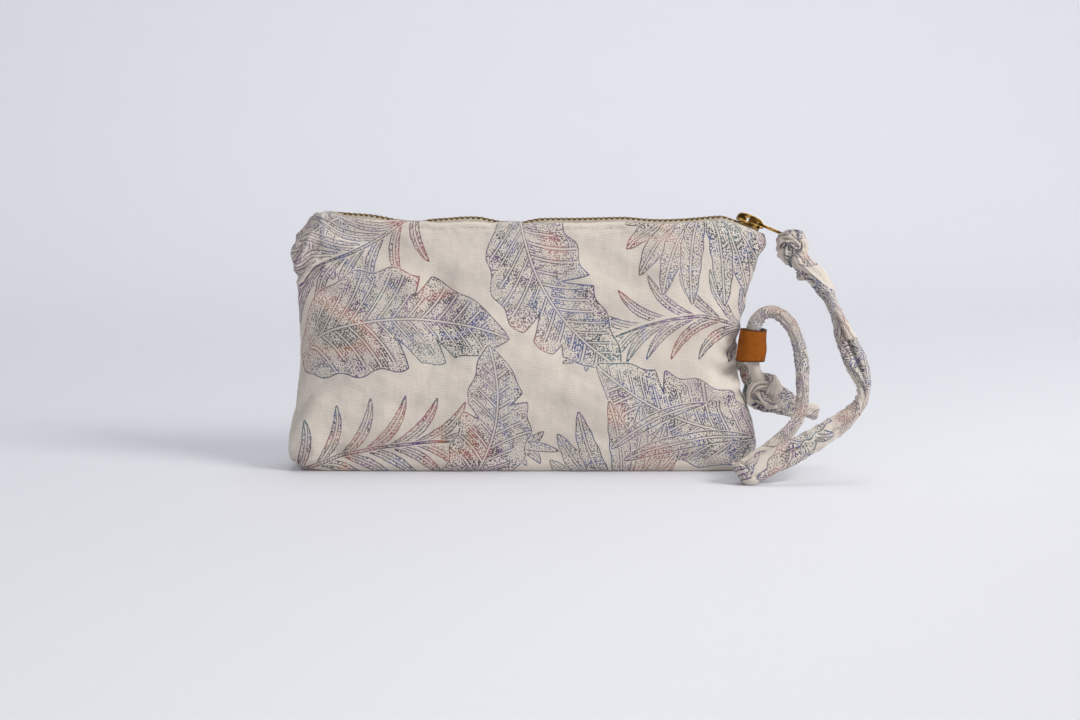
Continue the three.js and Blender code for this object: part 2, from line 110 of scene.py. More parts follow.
class StrapSettings(bpy.types.PropertyGroup):
    """The strap and its bead."""

    width: length_setting("Width", "Width of the front strap", 0.0077)
    side: length_setting("Side width", "Width of the side run", 0.0064)
    bead_length: length_setting("Bead length", "Bead length", 0.0154)
    bead_width: length_setting("Bead width", "Bead diameter", 0.0136)
    bead_wall: length_setting("Leather", "Leather thickness", 0.0019)
    leather: colour_setting("Leather colour", "Tan leather", (0.27, 0.072, 0.003))


class StageSettings(bpy.types.PropertyGroup):
    """Camera, lamps and floor."""

    eye: FloatVectorProperty(
        name="Camera", description="Camera place", default=(0.0062, -0.85, 0.15),
        subtype="TRANSLATION", size=3,
    )
    pitch: angle_setting("Pitch", "Camera's downward pitch", 0.115)
    lens: FloatProperty(name="Lens", description="Focal length in mm", default=59.17)
    floor: colour_setting("Floor", "Floor colour", (0.705, 0.71, 0.75))


# Lines and surfaces


def smooth_line(pairs, scale=1.0):
    """A smooth line through pairs of place and value."""
    places, values = (np.array(column, float) for column in zip(*pairs))
    values = values * scale
    before = np.maximum(np.arange(len(places)) - 1, 0)
    after = np.minimum(np.arange(len(places)) + 1, len(places) - 1)
    slopes = (values[after] - values[before]) / (places[after] - places[before])

    def at(place):
        place = np.asarray(place, float)
        i = np.clip(np.searchsorted(places, place) - 1, 0, len(places) - 2)
        span = places[i + 1] - places[i]
        s = np.clip((place - places[i]) / span, 0, 1)
        rise = s * s * (3 - 2 * s)
        bow = s * (1 - s) * (slopes[i] * (1 - s) - slopes[i + 1] * s) * span
        return values[i] + (values[i + 1] - values[i]) * rise + bow

    return at


def smoothstep(low, high, value):
    s = np.clip((value - low) / (high - low), 0, 1)
    return s * s * (3 - 2 * s)


def waves(u, v, length, seed, count=7):
    """A soft random surface of about that wavelength, from -1 to 1."""
    random = np.random.default_rng(seed)
    total = np.zeros(np.broadcast(u, v).shape)
    for _ in range(count):
        angle = random.uniform(0, 2 * math.pi)
        pitch = length * random.uniform(0.7, 1.6)
        phase = random.uniform(0, 2 * math.pi)
        total = total + np.sin(2 * math.pi * (u * math.cos(angle) + v * math.sin(angle)) / pitch + phase)
    return total / math.sqrt(count) / 1.4


def unit(vectors):
    """The vectors, each made 1 long."""
    return vectors / np.maximum(np.linalg.norm(vectors, axis=-1, keepdims=True), 1e-12)


def normals_of(points):
    """Unit normals of a grid of points, rows by columns."""
    return unit(np.cross(np.gradient(points, axis=1), np.gradient(points, axis=0)))


def lengths_along(line):
    """How far along a line each of its points is."""
    return np.concatenate([[0], np.cumsum(np.linalg.norm(np.diff(line, axis=0), axis=1))])


def full_turn(count):
    """Angles evenly round a circle."""
    return np.linspace(0, 2 * math.pi, count, endpoint=False)


def turned(first, second, angle):
    """A pair of coordinates after a turn from the first towards the second."""
    c, s = math.cos(angle), math.sin(angle)
    return first * c - second * s, first * s + second * c


class Route:
    """A smooth line through points, followed by its length from the start."""

    def __init__(self, points):
        points = np.array(points, float)
        places = lengths_along(points)
        even = np.linspace(0, places[-1], 30 * len(points))
        dense = np.stack([smooth_line(list(zip(places, column)))(even) for column in points.T], axis=1)
        reach = 30
        before = 2 * dense[0] - dense[reach:0:-1]
        after = 2 * dense[-1] - dense[-2:-reach - 2:-1]
        window = np.hanning(2 * reach + 1)
        padded = np.concatenate([before, dense, after])
        columns = [np.convolve(column, window / window.sum(), "valid") for column in padded.T]
        self.points = np.stack(columns, axis=1)
        self.lengths = lengths_along(self.points)
        self.length = self.lengths[-1]

    def at(self, lengths):
        return np.stack([np.interp(lengths, self.lengths, column) for column in self.points.T], axis=1)

    def evenly(self, count):
        """So many points evenly along the route, and each one's share of its length."""
        return self.at(np.linspace(0, self.length, count)), np.linspace(0, 1, count)


# Meshes


def grid_mesh(name, points, wrap=False, flip=False):
    """A mesh over a grid of points, rows by columns, whose last column may join its first."""
    rows, columns = points.shape[:2]
    index = np.arange(rows * columns).reshape(rows, columns)
    nearer = index if wrap else index[:, :-1]
    further = np.roll(index, -1, axis=1) if wrap else index[:, 1:]
    faces = np.stack([nearer[:-1], further[:-1], further[1:], nearer[1:]], axis=2).reshape(-1, 4)
    if flip:
        faces = faces[:, ::-1]
    mesh = bpy.data.meshes.new(name)
    mesh.from_pydata(points.reshape(-1, 3).tolist(), [], faces.tolist())
    mesh.shade_smooth()
    return mesh


def corner_values(grid, flip=False):
    """The values of a grid at the corners of its faces, in the order that grid_mesh makes them."""
    corners = np.stack([grid[:-1, :-1], grid[:-1, 1:], grid[1:, 1:], grid[1:, :-1]], axis=2)
    corners = corners.reshape(-1, 4, *grid.shape[2:])
    return corners[:, ::-1] if flip else corners


def write_values(mesh, name, kind, domain, values):
    attribute = mesh.attributes.new(name, kind, domain)
    key = "vector" if kind == "FLOAT_VECTOR" else "value"
    attribute.data.foreach_set(key, np.asarray(values, np.float32).ravel())


def add_piece(name, mesh, material, body, nodes=(), blend=None):
    """The piece in the scene, with its finish and in place of its nodes, on its body unless a blend is given,
    when its place is baked into its mesh instead.
    """
    piece = bpy.data.objects.new(name, mesh)
    bpy.context.collection.objects.link(piece)
    mesh.materials.clear()
    mesh.materials.append(material)
    if blend:
        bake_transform(piece)
    else:
        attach(piece, body)
    if nodes:
        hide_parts(*nodes)
    return piece


def joined_mesh(name, meshes):
    """One mesh of several, which are used up."""
    made = bmesh.new()
    for mesh in meshes:
        made.from_mesh(mesh)
        bpy.data.meshes.remove(mesh)
    joined = bpy.data.meshes.new(name)
    made.to_mesh(joined)
    made.free()
    return joined


def plate(name, loops, thickness, bevel, segments=2):
    """A flat plate with rounded edges, whose first loop is its outline and the others its holes."""
    curve = bpy.data.curves.new(name, "CURVE")
    curve.dimensions = "2D"
    curve.fill_mode = "BOTH"
    curve.extrude = thickness / 2 - bevel
    curve.bevel_depth = bevel
    curve.bevel_resolution = segments
    for loop in loops:
        spline = curve.splines.new("POLY")
        spline.points.add(len(loop) - 1)
        for point, (x, y) in zip(spline.points, loop):
            point.co = (x, y, 0, 1)
        spline.use_cyclic_u = True
    drawn = bpy.data.objects.new(name, curve)
    bpy.context.collection.objects.link(drawn)
    bpy.context.view_layer.update()
    mesh = bpy.data.meshes.new_from_object(drawn.evaluated_get(bpy.context.evaluated_depsgraph_get()))
    bpy.data.objects.remove(drawn)
    bpy.data.curves.remove(curve)
    mesh.name = name
    mesh.shade_smooth()
    return mesh


def cast(mesh, detail):
    """The mesh as one even skin, so that its edges and hollows show in the finish."""
    raw = bpy.data.objects.new(mesh.name, mesh)
    bpy.context.collection.objects.link(raw)
    remesh = raw.modifiers.new("skin", "REMESH")
    remesh.mode = "VOXEL"
    remesh.voxel_size = detail
    soften = raw.modifiers.new("soften", "SMOOTH")
    soften.factor = 0.5
    soften.iterations = 2
    bpy.context.view_layer.update()
    made = bpy.data.meshes.new_from_object(raw.evaluated_get(bpy.context.evaluated_depsgraph_get()))
    made.name = mesh.name + "_skin"
    bpy.data.objects.remove(raw)
    bpy.data.meshes.remove(mesh)
    made.shade_smooth()
    return made


def rounded_loop(points, radius, steps=5):
    """A closed outline through corner points, each rounded."""
    loop = []
    for i, corner in enumerate(points):
        here = Vector(corner)
        before = Vector(points[i - 1]) - here
        after = Vector(points[(i + 1) % len(points)]) - here
        reach = min(radius, before.length * 0.48, after.length * 0.48)
        start = here + before.normalized() * reach
        end = here + after.normalized() * reach
        for k in range(steps + 1):
            s = k / steps
            loop.append(tuple((1 - s) ** 2 * start + 2 * s * (1 - s) * here + s * s * end))
    return loop


def loop_mm(points, radius, steps=3):
    """The rounded outline in metres, from corner points and a radius in millimetres."""
    return rounded_loop([(x * MM, y * MM) for x, y in points], radius * MM, steps)


def placed(mesh, place, tilt=0.0, turn=0.0):
    """The mesh turned about Y, after a turn about X, and moved to its place."""
    points = np.empty(len(mesh.vertices) * 3, np.float32)
    mesh.vertices.foreach_get("co", points)
    points = points.reshape(-1, 3).astype(float)
    c, s = math.cos(turn), math.sin(turn)
    points = points @ np.array([[1, 0, 0], [0, c, s], [0, -s, c]])
    c, s = math.cos(tilt), math.sin(tilt)
    points = points @ np.array([[c, 0, -s], [0, 1, 0], [s, 0, c]])
    mesh.vertices.foreach_set("co", (points + np.array(place)).astype(np.float32).ravel())
    mesh.update()
    return mesh


# Shaders


class Value:
    """A shader value that can be written in sums."""

    def __init__(self, shader, socket):
        self.shader = shader
        self.socket = socket

    def maths(self, operation, *others):
        inputs = dict(enumerate((self, *others)))
        return self.shader.node("ShaderNodeMath", {"operation": operation}, inputs)

    def __add__(self, other):
        return self.maths("ADD", other)

    __radd__ = __add__

    def __sub__(self, other):
        return self.maths("SUBTRACT", other)

    def __rsub__(self, other):
        return self.shader.node("ShaderNodeMath", {"operation": "SUBTRACT"}, {0: other, 1: self})

    def __mul__(self, other):
        return self.maths("MULTIPLY", other)

    __rmul__ = __mul__

    def size(self):
        return self.maths("ABSOLUTE")

    def most(self, other):
        return self.maths("MAXIMUM", other)

    def over(self, other):
        return self.maths("GREATER_THAN", other)

    def rising(self, low, high):
        """0 below low, 1 above high and smooth between them."""
        inputs = {"Value": self, "From Min": low, "From Max": high}
        return self.shader.node("ShaderNodeMapRange", {"interpolation_type": "SMOOTHSTEP"}, inputs)

    def falling(self, low, high):
        return 1 - self.rising(low, high)


class Shader:
    """A material, or the world, whose nodes are made by one method."""

    def __init__(self, name, world=None):
        self.material = world or bpy.data.materials.new(name)
        self.material.use_nodes = True
        self.tree = self.material.node_tree
        self.tree.nodes.clear()

    def node(self, kind, settings=None, inputs=None, output=0):
        made = self.tree.nodes.new(kind)
        for key, value in (settings or {}).items():
            if key == "stops":
                ramp = made.color_ramp
                while len(ramp.elements) < len(value):
                    ramp.elements.new(0.5)
                for element, (place, colour) in zip(ramp.elements, value):
                    element.position = place
                    element.color = (*colour, 1)
            else:
                setattr(made, key, value)
        for key, value in (inputs or {}).items():
            if isinstance(value, Value):
                self.tree.links.new(value.socket, made.inputs[key])
            elif isinstance(value, tuple) and made.inputs[key].type == "RGBA":
                made.inputs[key].default_value = (*value, 1)
            else:
                made.inputs[key].default_value = value
        return None if output is None else Value(self, made.outputs[output])

    def mix(self, first, second, share, blend="MIX"):
        settings = {"data_type": "RGBA", "blend_type": blend}
        return self.node("ShaderNodeMix", settings, {0: share, 6: first, 7: second}, 2)

    def attribute(self, name, output="Vector"):
        return self.node("ShaderNodeAttribute", {"attribute_name": name}, output=output)

    def parts(self, vector):
        """The three numbers of a vector."""
        first = self.node("ShaderNodeSeparateXYZ", {}, {0: vector})
        outputs = first.socket.node.outputs
        return [Value(self, outputs[i]) for i in range(3)]

    def place(self):
        """The point's place on the object, in metres."""
        return self.node("ShaderNodeTexCoord", output="Object")

    def noise(self, place, scale, detail=3.0, roughness=0.5):
        inputs = {"Vector": place, "Scale": scale, "Detail": detail, "Roughness": roughness}
        return self.node("ShaderNodeTexNoise", {}, inputs)

    def stretched(self, place, by):
        return self.node("ShaderNodeVectorMath", {"operation": "MULTIPLY"}, {0: place, 1: by})

    def bump(self, height, distance, strength=1.0, normal=None):
        inputs = {"Height": height, "Distance": distance, "Strength": strength}
        if normal:
            inputs["Normal"] = normal
        return self.node("ShaderNodeBump", {}, inputs)

    def seen(self):
        """1 where the camera looks, straight, in gloss or through glass, and 0 for light on its way."""
        rays = self.node("ShaderNodeLightPath").socket.node.outputs
        camera, glossy, through = (Value(self, rays["Is " + kind + " Ray"])
                                   for kind in ("Camera", "Glossy", "Transmission"))
        return camera.most(glossy).most(through)

    def finish(self, inputs, glow=None, share=None):
        """The finished material, which may glow in part."""
        surface = self.node("ShaderNodeBsdfPrincipled", {}, inputs)
        if glow:
            glowing = self.node("ShaderNodeEmission", {}, {"Color": glow})
            surface = self.node("ShaderNodeMixShader", {}, {0: share, 1: surface, 2: glowing})
        self.node("ShaderNodeOutputMaterial", {}, {"Surface": surface}, None)
        return self.material


def shaded(colour, share):
    """The colour made darker, or lighter."""
    return tuple(share * c for c in colour)


def kept_material(name, make):
    """The material of that name, made once."""
    return bpy.data.materials.get(name) or make(name)


def woven(shader, place, pitch, ribbed=0.42):
    """The height of a fine ribbed weave, on a place in millimetres."""
    wobble = shader.noise(place, 0.35, 2.0) * 0.5
    along, up, _ = shader.parts(place)
    rib = ((up + along * 0.11 + wobble) * (2 * math.pi / pitch)).maths("SINE")
    thread = ((along + wobble) * (2 * math.pi / (pitch * 0.6))).maths("SINE")
    grain = shader.noise(place, 2.6, 3.0, 0.6)
    return rib * ribbed + thread * 0.14 + grain * 1.1


def printed_cloth(name):
    """Suede-like ribbed cloth with its leaf print, read from the leaves laid at each face's corners."""
    settings = bpy.context.scene.pouch_cloth
    shader = Shader(name)
    place = shader.attribute("place")
    vein_pitch = 4.4
    dashes_to_vein = 5.0
    ragged = shader.noise(place, 2.2, 2.0, 0.6) - 0.5
    broken = shader.noise(place, 0.8, 2.0, 0.6).rising(0.34, 0.44)
    patch = shader.noise(place, 0.17, 2.0, 0.5)

    def drawn(name):
        """How far a point is inside a leaf, its outline, its inner lines and its plain strips."""
        edge, vein, rib = shader.parts(shader.attribute(name))
        inside = edge.rising(-0.1, 0.1)
        outline = (edge + ragged * 0.4).size().falling(0.12, 0.36) * (0.35 + broken * 0.65)
        turn = vein + 0.5
        beyond = rib.over(0.0)
        draw = shader.node("ShaderNodeTexWhiteNoise", {"noise_dimensions": "1D"},
                           {"W": turn.maths("FLOOR") + beyond * 0.37})
        nearest = (turn.maths("FRACT") - 0.5).size() * vein_pitch
        reach = (edge - draw * 5.5).rising(0.2, 0.9)
        pair = (nearest + ragged * 0.35 - 0.52).size().falling(0.08, 0.3) * reach * broken
        strip = nearest.falling(0.3, 0.5) * reach
        dashes = ((vein * dashes_to_vein).maths("FRACT") - 0.5).size() * (vein_pitch / dashes_to_vein)
        drawn_dashes = (dashes + ragged * 0.3).falling(0.05, 0.22) * patch.rising(0.5, 0.54)
        drawn_dashes = drawn_dashes * (edge - draw * 2.5).rising(0.8, 1.2) * broken * (1 - strip)
        middle = (rib.size() + ragged * 0.3 - 0.62).size().falling(0.08, 0.3) * edge.rising(0.1, 0.4) * broken
        middle_strip = rib.size().falling(0.42, 0.6)
        inked = (pair * (1 - middle_strip)).most(middle).most(drawn_dashes * (1 - middle_strip)) * inside
        return edge, inside, outline, inked, strip.most(middle_strip)

    # The lines of the top leaf, and those of the one under it wherever the top one doesn't hide them
    top_edge, top_inside, top_outline, top_inked, top_strip = drawn("top_leaf")
    _, under_inside, under_outline, under_inked, under_strip = drawn("under_leaf")
    seen = top_edge.falling(-0.75, -0.5)
    lines = top_outline.most(top_inked).most(under_outline.most(under_inked) * seen)
    filled = top_inside.most(under_inside * seen)
    plain = (top_strip * top_inside).most(under_strip * seen)
    # Dots, larger and closer where the cloud is dense, and none on the plain strips
    cloud = shader.noise(place, 0.05, 2.0, 0.5)
    density = (cloud * 0.9 + patch * 1.0 - 0.55).rising(0.0, 0.75)
    cells = shader.node("ShaderNodeTexVoronoi", {"voronoi_dimensions": "2D"},
                        {"Vector": place, "Scale": 0.92})
    reach = 0.14 + density * 0.31 + ragged * 0.42
    dots = (reach - cells).rising(-0.02, 0.07)
    stipple = dots * filled * (1 - plain * 0.9)
    ink = lines.most(stipple)
    # The ink's tint, which drifts over the cloth
    hue = shader.noise(place, 0.026, 1.0, 0.45)
    dark, teal, blue = (0.04, 0.042, 0.058), (0.02, 0.095, 0.12), (0.035, 0.07, 0.26)
    violet, red, rust = (0.15, 0.045, 0.2), (0.28, 0.03, 0.075), (0.3, 0.09, 0.03)
    tints = [
        (0.0, teal), (0.34, teal), (0.385, dark), (0.43, blue), (0.47, dark), (0.515, violet), (0.55, dark),
        (0.595, red), (0.64, rust), (0.69, dark),
    ]
    tint = shader.node("ShaderNodeValToRGB", {"stops": tints}, {"Fac": hue})
    ink_colour = shader.mix(tuple(settings.ink), tint, 0.85)
    # The ground, with blotches and nap, and painted shade in the weave's grooves and in the creases
    blotches = shader.noise(place, 0.03, 3.0, 0.5)
    base = tuple(settings.colour)
    ground = shader.mix(base, shaded(base, 0.88), blotches.rising(0.35, 0.75))
    nap = shader.noise(shader.stretched(place, (0.45, 1.0, 1.0)), 1.7, 3.0, 0.65)
    ground = shader.mix(ground, shaded(base, 0.78), nap.rising(0.45, 0.8) * 0.45)
    weave = woven(shader, place, settings.rib, 0.22)
    # Painted shade in the low parts of the weave
    ground = shader.mix(ground, shaded(base, 0.7), weave.rising(0.72, 0.2) * 0.4)
    # Painted shade in the creases of the straps and knots, read from how deep their hollows are
    crease = shader.attribute("crease", "Fac")
    ground = shader.mix(ground, (0.3, 0.25, 0.2), crease.rising(0.15, 1.1) * 0.6)
    washed = shader.mix(ground, tint, filled * 0.05)
    faded = 0.72 + shader.noise(place, 0.036, 2.0, 0.5).rising(0.3, 0.62) * 0.26
    colour = shader.mix(washed, ink_colour, ink * faded)
    folds = shader.noise(place, 0.2, 3.0, 0.55)
    coarse = shader.bump(folds, 0.4 * MM)
    return shader.finish({
        "Base Color": colour,
        "Roughness": 0.93 - ink * 0.28,
        "Specular IOR Level": 0.3,
        "Sheen Weight": 0.12,
        "Sheen Roughness": 0.5,
        "Normal": shader.bump(weave - ink * 0.3, 0.15 * MM, 1.0, coarse),
    })


def plain_cloth(name, colour, pitch, depth=0.06):
    """Plain woven cloth, on its place on the object."""
    shader = Shader(name)
    place = shader.stretched(shader.place(), (1 / MM, 1 / MM, 1 / MM))
    weave = woven(shader, place, pitch)
    shade = shader.noise(place, 0.25, 3.0, 0.6)
    ground = shader.mix(tuple(colour), shaded(colour, 0.72), shade.rising(0.3, 0.75))
    # The colour has painted shade in the low parts of the weave
    return shader.finish({
        "Base Color": shader.mix(ground, shaded(colour, 0.6), weave.rising(0.75, 0.2) * 0.5),
        "Roughness": 0.88 - weave * 0.05,
        "Specular IOR Level": 0.3,
        "Normal": shader.bump(weave, depth * MM),
    })


def lining_cloth(name):
    return plain_cloth(name, bpy.context.scene.pouch_cloth.inside, 0.5)


def tape_cloth(name):
    return plain_cloth(name, bpy.context.scene.pouch_zip.tape, 0.45, 0.09)


def sewing_thread(name):
    return plain_cloth(name, bpy.context.scene.pouch_cloth.thread, 0.2, 0.04)


def brass_with_painted_shade(name, bright=1.0):
    """Brass with painted shade, dark in its hollows and on its flat faces, and painted highlights on its
    edges, which are also worn smoother.
    """
    settings = bpy.context.scene.pouch_zip
    shader = Shader(name)
    place = shader.place()
    pointed = shader.node("ShaderNodeNewGeometry", output="Pointiness")
    blotch = shader.noise(place, 420.0, 4.0, 0.6)
    # Painted highlight where the surface is pointed, painted shade where it is flat or hollow; the same share
    # makes the edges smoother, as wear does
    wear_and_highlight = (pointed + (blotch - 0.5) * 0.12).rising(0.495, 0.54)
    colour = shader.mix(tuple(settings.brass_shade), tuple(settings.brass), wear_and_highlight * bright)
    scratches = shader.noise(shader.stretched(place, (600.0, 3200.0, 3200.0)), 1.0, 3.0, 0.6)
    return shader.finish({
        "Base Color": colour,
        "Metallic": 0.96,
        "Roughness": 0.36 - wear_and_highlight * 0.16 + scratches * 0.14,
        "Normal": shader.bump(scratches + blotch, 0.02 * MM, 0.6),
    })


# Brass that is nearly all its painted shade colour, with a faint painted highlight on its edges
def dark_brass(name):
    return brass_with_painted_shade(name, 0.15)


def tan_leather(name):
    """Matte tan leather: soft mottling, fine grain and darker, burnished cut edges."""
    settings = bpy.context.scene.pouch_strap
    shader = Shader(name)
    place = shader.place()
    edge = shader.attribute("cut_edge", "Fac")
    mottle = shader.noise(place, 240.0, 4.0, 0.6)
    pores = shader.node("ShaderNodeTexVoronoi", {}, {"Vector": place, "Scale": 1900.0})
    fibres = shader.noise(shader.stretched(place, (1.0, 1.0, 0.45)), 2600.0, 3.0, 0.65)
    base = tuple(settings.leather)
    colour = shader.mix(base, shaded(base, 0.62), mottle.rising(0.42, 0.75))
    colour = shader.mix(colour, (0.36, 0.11, 0.006), fibres.rising(0.5, 0.8) * 0.35)
    dark = (edge + (mottle - 0.5) * 0.35).rising(0.2, 0.7)
    return shader.finish({
        "Base Color": shader.mix(colour, (0.05, 0.017, 0.004), dark * 0.9),
        "Roughness": 0.76 - dark * 0.2 + fibres * 0.12,
        "Specular IOR Level": 0.22,
        "Normal": shader.bump(pores * 0.5 + fibres + mottle * 0.8, 0.1 * MM),
    })


# The leaf print


# A place among the side veins that is far from all of them, and from the dashes between them.
NO_VEIN = 0.4
# Millimetres off the spine, where a leaf has none drawn.
NO_SPINE = 50.0
# Millimetres inside the edge, where no leaf is near.
BARE = -9.0


class Leaf:
    """A printed leaf on flat cloth: a bent spine, a width along it, side veins and splits between them.

    Its places are millimetres and its heading is in degrees from the right, turning left.
    """

    def __init__(self, base, heading, length, width, bend=0.0, veins=0.0, ribbed=False, splits=(), wave=0.0,
                 blunt=0.55):
        self.base = np.array(base, float)
        self.heading = math.radians(heading)
        self.length = length
        self.width = width
        self.bend = bend
        self.veins = veins
        self.ribbed = ribbed
        self.splits = splits
        self.wave = wave
        self.blunt = blunt

    def spine(self, share):
        """The point of the spine at a share of its length, and the heading there in degrees."""
        along = share * self.length
        across = 4 * self.bend * self.length * share * (1 - share)
        c, s = math.cos(self.heading), math.sin(self.heading)
        turn = math.atan(4 * self.bend * (1 - 2 * share))
        point = self.base + np.array([along * c - across * s, along * s + across * c])
        return point, math.degrees(self.heading + turn)

    def half_width(self, share):
        shape = np.power(np.clip(share, 1e-4, 1), self.blunt) * np.power(np.clip(1 - share, 1e-4, 1), 0.8)
        peak = self.blunt / (self.blunt + 0.8)
        shape = shape / (peak**self.blunt * (1 - peak) ** 0.8)
        return self.width / 2 * shape * (1 + self.wave * np.sin(34 * share + self.length))

    def field(self, at):
        """For each point, how far it is inside the edge, its place among the side veins and off the spine."""
        offset = at - self.base
        c, s = math.cos(self.heading), math.sin(self.heading)
        along = offset[..., 0] * c + offset[..., 1] * s
        across = offset[..., 1] * c - offset[..., 0] * s
        share = along / self.length
        held = np.clip(share, 0, 1)
        slope = 4 * self.bend * (1 - 2 * held)
        aside = (across - 4 * self.bend * self.length * held * (1 - held)) / np.sqrt(1 + slope**2)
        half = self.half_width(held)
        steep = self.half_width(np.clip(held + 0.01, 0, 1)) - self.half_width(np.clip(held - 0.01, 0, 1))
        steep = np.clip(steep / (0.02 * self.length), -1.5, 1.5)
        inside = (half - np.abs(aside)) / np.sqrt(1 + steep**2)
        beyond = np.abs(share - held) * self.length
        inside = np.where(beyond > 0, np.minimum(inside, -np.hypot(beyond, aside)), inside)
        slant = along - np.abs(aside) * 0.95 + aside**2 * 0.012
        for side, place, depth, wide in self.splits:
            reach = np.abs(aside) / np.maximum(half, 0.5)
            open_half = wide * np.clip((reach - 1 + depth) / depth, 0, 1.4)
            notch = open_half - np.abs(slant - place * self.length) * 0.72
            mine = (np.sign(aside) == side) & (reach > 1 - depth)
            inside = np.where(mine, np.minimum(inside, -notch), inside)
        vein = slant / self.veins if self.veins else np.full(inside.shape, NO_VEIN)
        rib = aside if self.ribbed else np.full(inside.shape, NO_SPINE)
        return np.stack([inside, vein, rib], axis=-1)


def frond(base, heading, length, pairs, leaflet, width, bend=0.0, angle=50):
    """Leaves in pairs along a bent stem, longest in the middle."""
    stem = Leaf(base, heading, length, 1.7, bend, blunt=0.12)
    leaves = []
    for i in range(pairs):
        share = (i + 0.6) / pairs
        point, facing = stem.spine(share)
        long = leaflet * math.sin(math.pi * (0.22 + 0.7 * share)) ** 0.7
        open_angle = angle * (1 - 0.4 * share)
        for side in (-1, 1):
            out = facing + side * (open_angle + 5 * math.sin(7 * share + side))
            leaves.append(Leaf(point, out, long, width, -side * 0.13, ribbed=True, wave=0.04, blunt=0.7))
    point, facing = stem.spine(0.97)
    leaves.append(Leaf(point, facing, leaflet * 0.6, width, 0.04))
    return [*leaves, stem]


def fan(base, heading, spread, count, length, width):
    """Blades that spread from one point, the middle ones longest."""
    blades = []
    for i in range(count):
        share = i / (count - 1)
        facing = heading + spread * (share - 0.5)
        long = length * (0.62 + 0.38 * math.sin(math.pi * share))
        lean = 0.06 * (1 if share > 0.5 else -1)
        blades.append(Leaf(base, facing, long, width, lean, ribbed=True, wave=0.05, blunt=0.85))
    order = sorted(range(count), key=lambda i: -abs(i - (count - 1) / 2))
    return [blades[i] for i in order]


def broad(base, heading, length, width, bend, splits=()):
    return Leaf(base, heading, length, width, bend, veins=7.0, ribbed=True, splits=splits, wave=0.06)


def front_leaves():
    """The leaves on the pouch's front, from the lowest layer to the top one."""
    return [
        broad((-72, 136), -154, 74, 50, 0.1, [(1, 0.4, 0.6, 2)]),
        *frond((-48, 134), -150, 82, 8, 34, 4.6, 0.1),
        *frond((122, 70), 186, 92, 8, 31, 4.4, -0.1),
        broad((-4, 134), -60, 96, 44, -0.13, [(1, 0.4, 0.6, 2.2), (-1, 0.5, 0.7, 2.4), (-1, 0.68, 0.5, 1.8)]),
        *fan((84, 134), -96, 160, 11, 54, 10.5),
        *frond((-118, -4), 8, 118, 10, 34, 4.8, 0.08),
        broad((-112, 58), 4, 104, 48, 0.12, [(-1, 0.42, 0.7, 2.6), (-1, 0.6, 0.65, 2.2), (1, 0.5, 0.5, 2)]),
        broad((118, 18), 158, 92, 40, 0.1, [(1, 0.42, 0.6, 2.2), (-1, 0.55, 0.6, 2)]),
        *fan((44, -16), 96, 136, 9, 52, 9.5),
        broad((-34, -14), 78, 78, 34, -0.14, [(1, 0.45, 0.6, 2), (-1, 0.6, 0.6, 2)]),
        Leaf((46, 6), 10, 66, 7, 0.07, ribbed=True),
        Leaf((40, 12), 26, 50, 5.5, 0.08, ribbed=True),
    ]


def back_leaves():
    """The leaves on the pouch's back, in the same order."""
    return [
        *frond((60, 132), -24, 84, 8, 32, 4.6, -0.1),
        broad((-108, 118), -22, 106, 48, 0.1, [(1, 0.4, 0.6, 2.2), (-1, 0.55, 0.7, 2.4)]),
        *fan((8, 136), -84, 160, 11, 58, 11),
        *frond((-120, 44), -8, 116, 9, 33, 4.8, 0.08),
        *frond((118, 96), 196, 88, 8, 30, 4.4, 0.1),
        broad((118, 44), 168, 108, 48, -0.12, [(-1, 0.42, 0.7, 2.4), (1, 0.6, 0.6, 2)]),
        *fan((-64, -14), 84, 140, 9, 56, 10.5),
        broad((14, -14), 52, 92, 40, 0.13, [(1, 0.45, 0.6, 2), (-1, 0.6, 0.6, 2)]),
        *frond((118, -8), 168, 90, 8, 28, 4.4, 0.08),
        broad((-116, -10), 40, 62, 30, -0.1, [(1, 0.5, 0.6, 2)]),
        Leaf((-20, 8), 20, 60, 7, 0.07, ribbed=True),
    ]


def strap_leaves(length, around, seed, crowd=1.0):
    """Leaves scattered along a strip of the same cloth."""
    random = np.random.default_rng(seed)
    leaves = []
    place = 4.0
    while place < length:
        base = (place, random.uniform(0, around))
        heading = random.choice([random.uniform(-35, 35), random.uniform(145, 215)])
        if random.uniform() < 0.5:
            leaves.append(broad(base, heading, random.uniform(30, 50), random.uniform(14, 24), 0.1))
        else:
            leaves.append(Leaf(base, heading, random.uniform(20, 34), random.uniform(4, 6), 0.1, ribbed=True))
        place += random.uniform(15, 27) / crowd
    return leaves


def print_leaves(mesh, places, leaves):
    """Lays leaves over a mesh: each face keeps the leaf on top of it and the one beneath."""
    middles = places.mean(axis=1)
    blank = np.array([BARE, NO_VEIN, NO_SPINE])
    top = np.tile(blank, (len(places), 4, 1))
    under = top.copy()
    margin = 1.6
    for leaf in leaves:
        middle, _ = leaf.spine(0.5)
        found = np.flatnonzero(np.hypot(*(middles - middle).T) < leaf.length * 0.6 + leaf.width)
        touched = found[leaf.field(middles[found])[:, 0] > -margin]
        if not len(touched):
            continue
        shows = top[touched, :, 0].mean(axis=1) > -margin
        kept = touched[shows]
        under[kept] = top[kept]
        top[touched] = leaf.field(places[touched])
    write_values(mesh, "place", "FLOAT_VECTOR", "CORNER", np.dstack([places, np.zeros(places.shape[:2])]))
    write_values(mesh, "top_leaf", "FLOAT_VECTOR", "CORNER", top)
    write_values(mesh, "under_leaf", "FLOAT_VECTOR", "CORNER", under)


# The pouch


# How far behind the middle the seam under the base lies.
SEAM_BACK = 4 * MM
# Half of the opening of a seam.
SEAM_HALF = 0.05 * MM
# How far round the lip's cloth turns in, towards the zip.
LIP_TURN = math.radians(104)
# How much of the gap between the lips is closed at the zip's ends.
LIPS_SHUT = 0.985


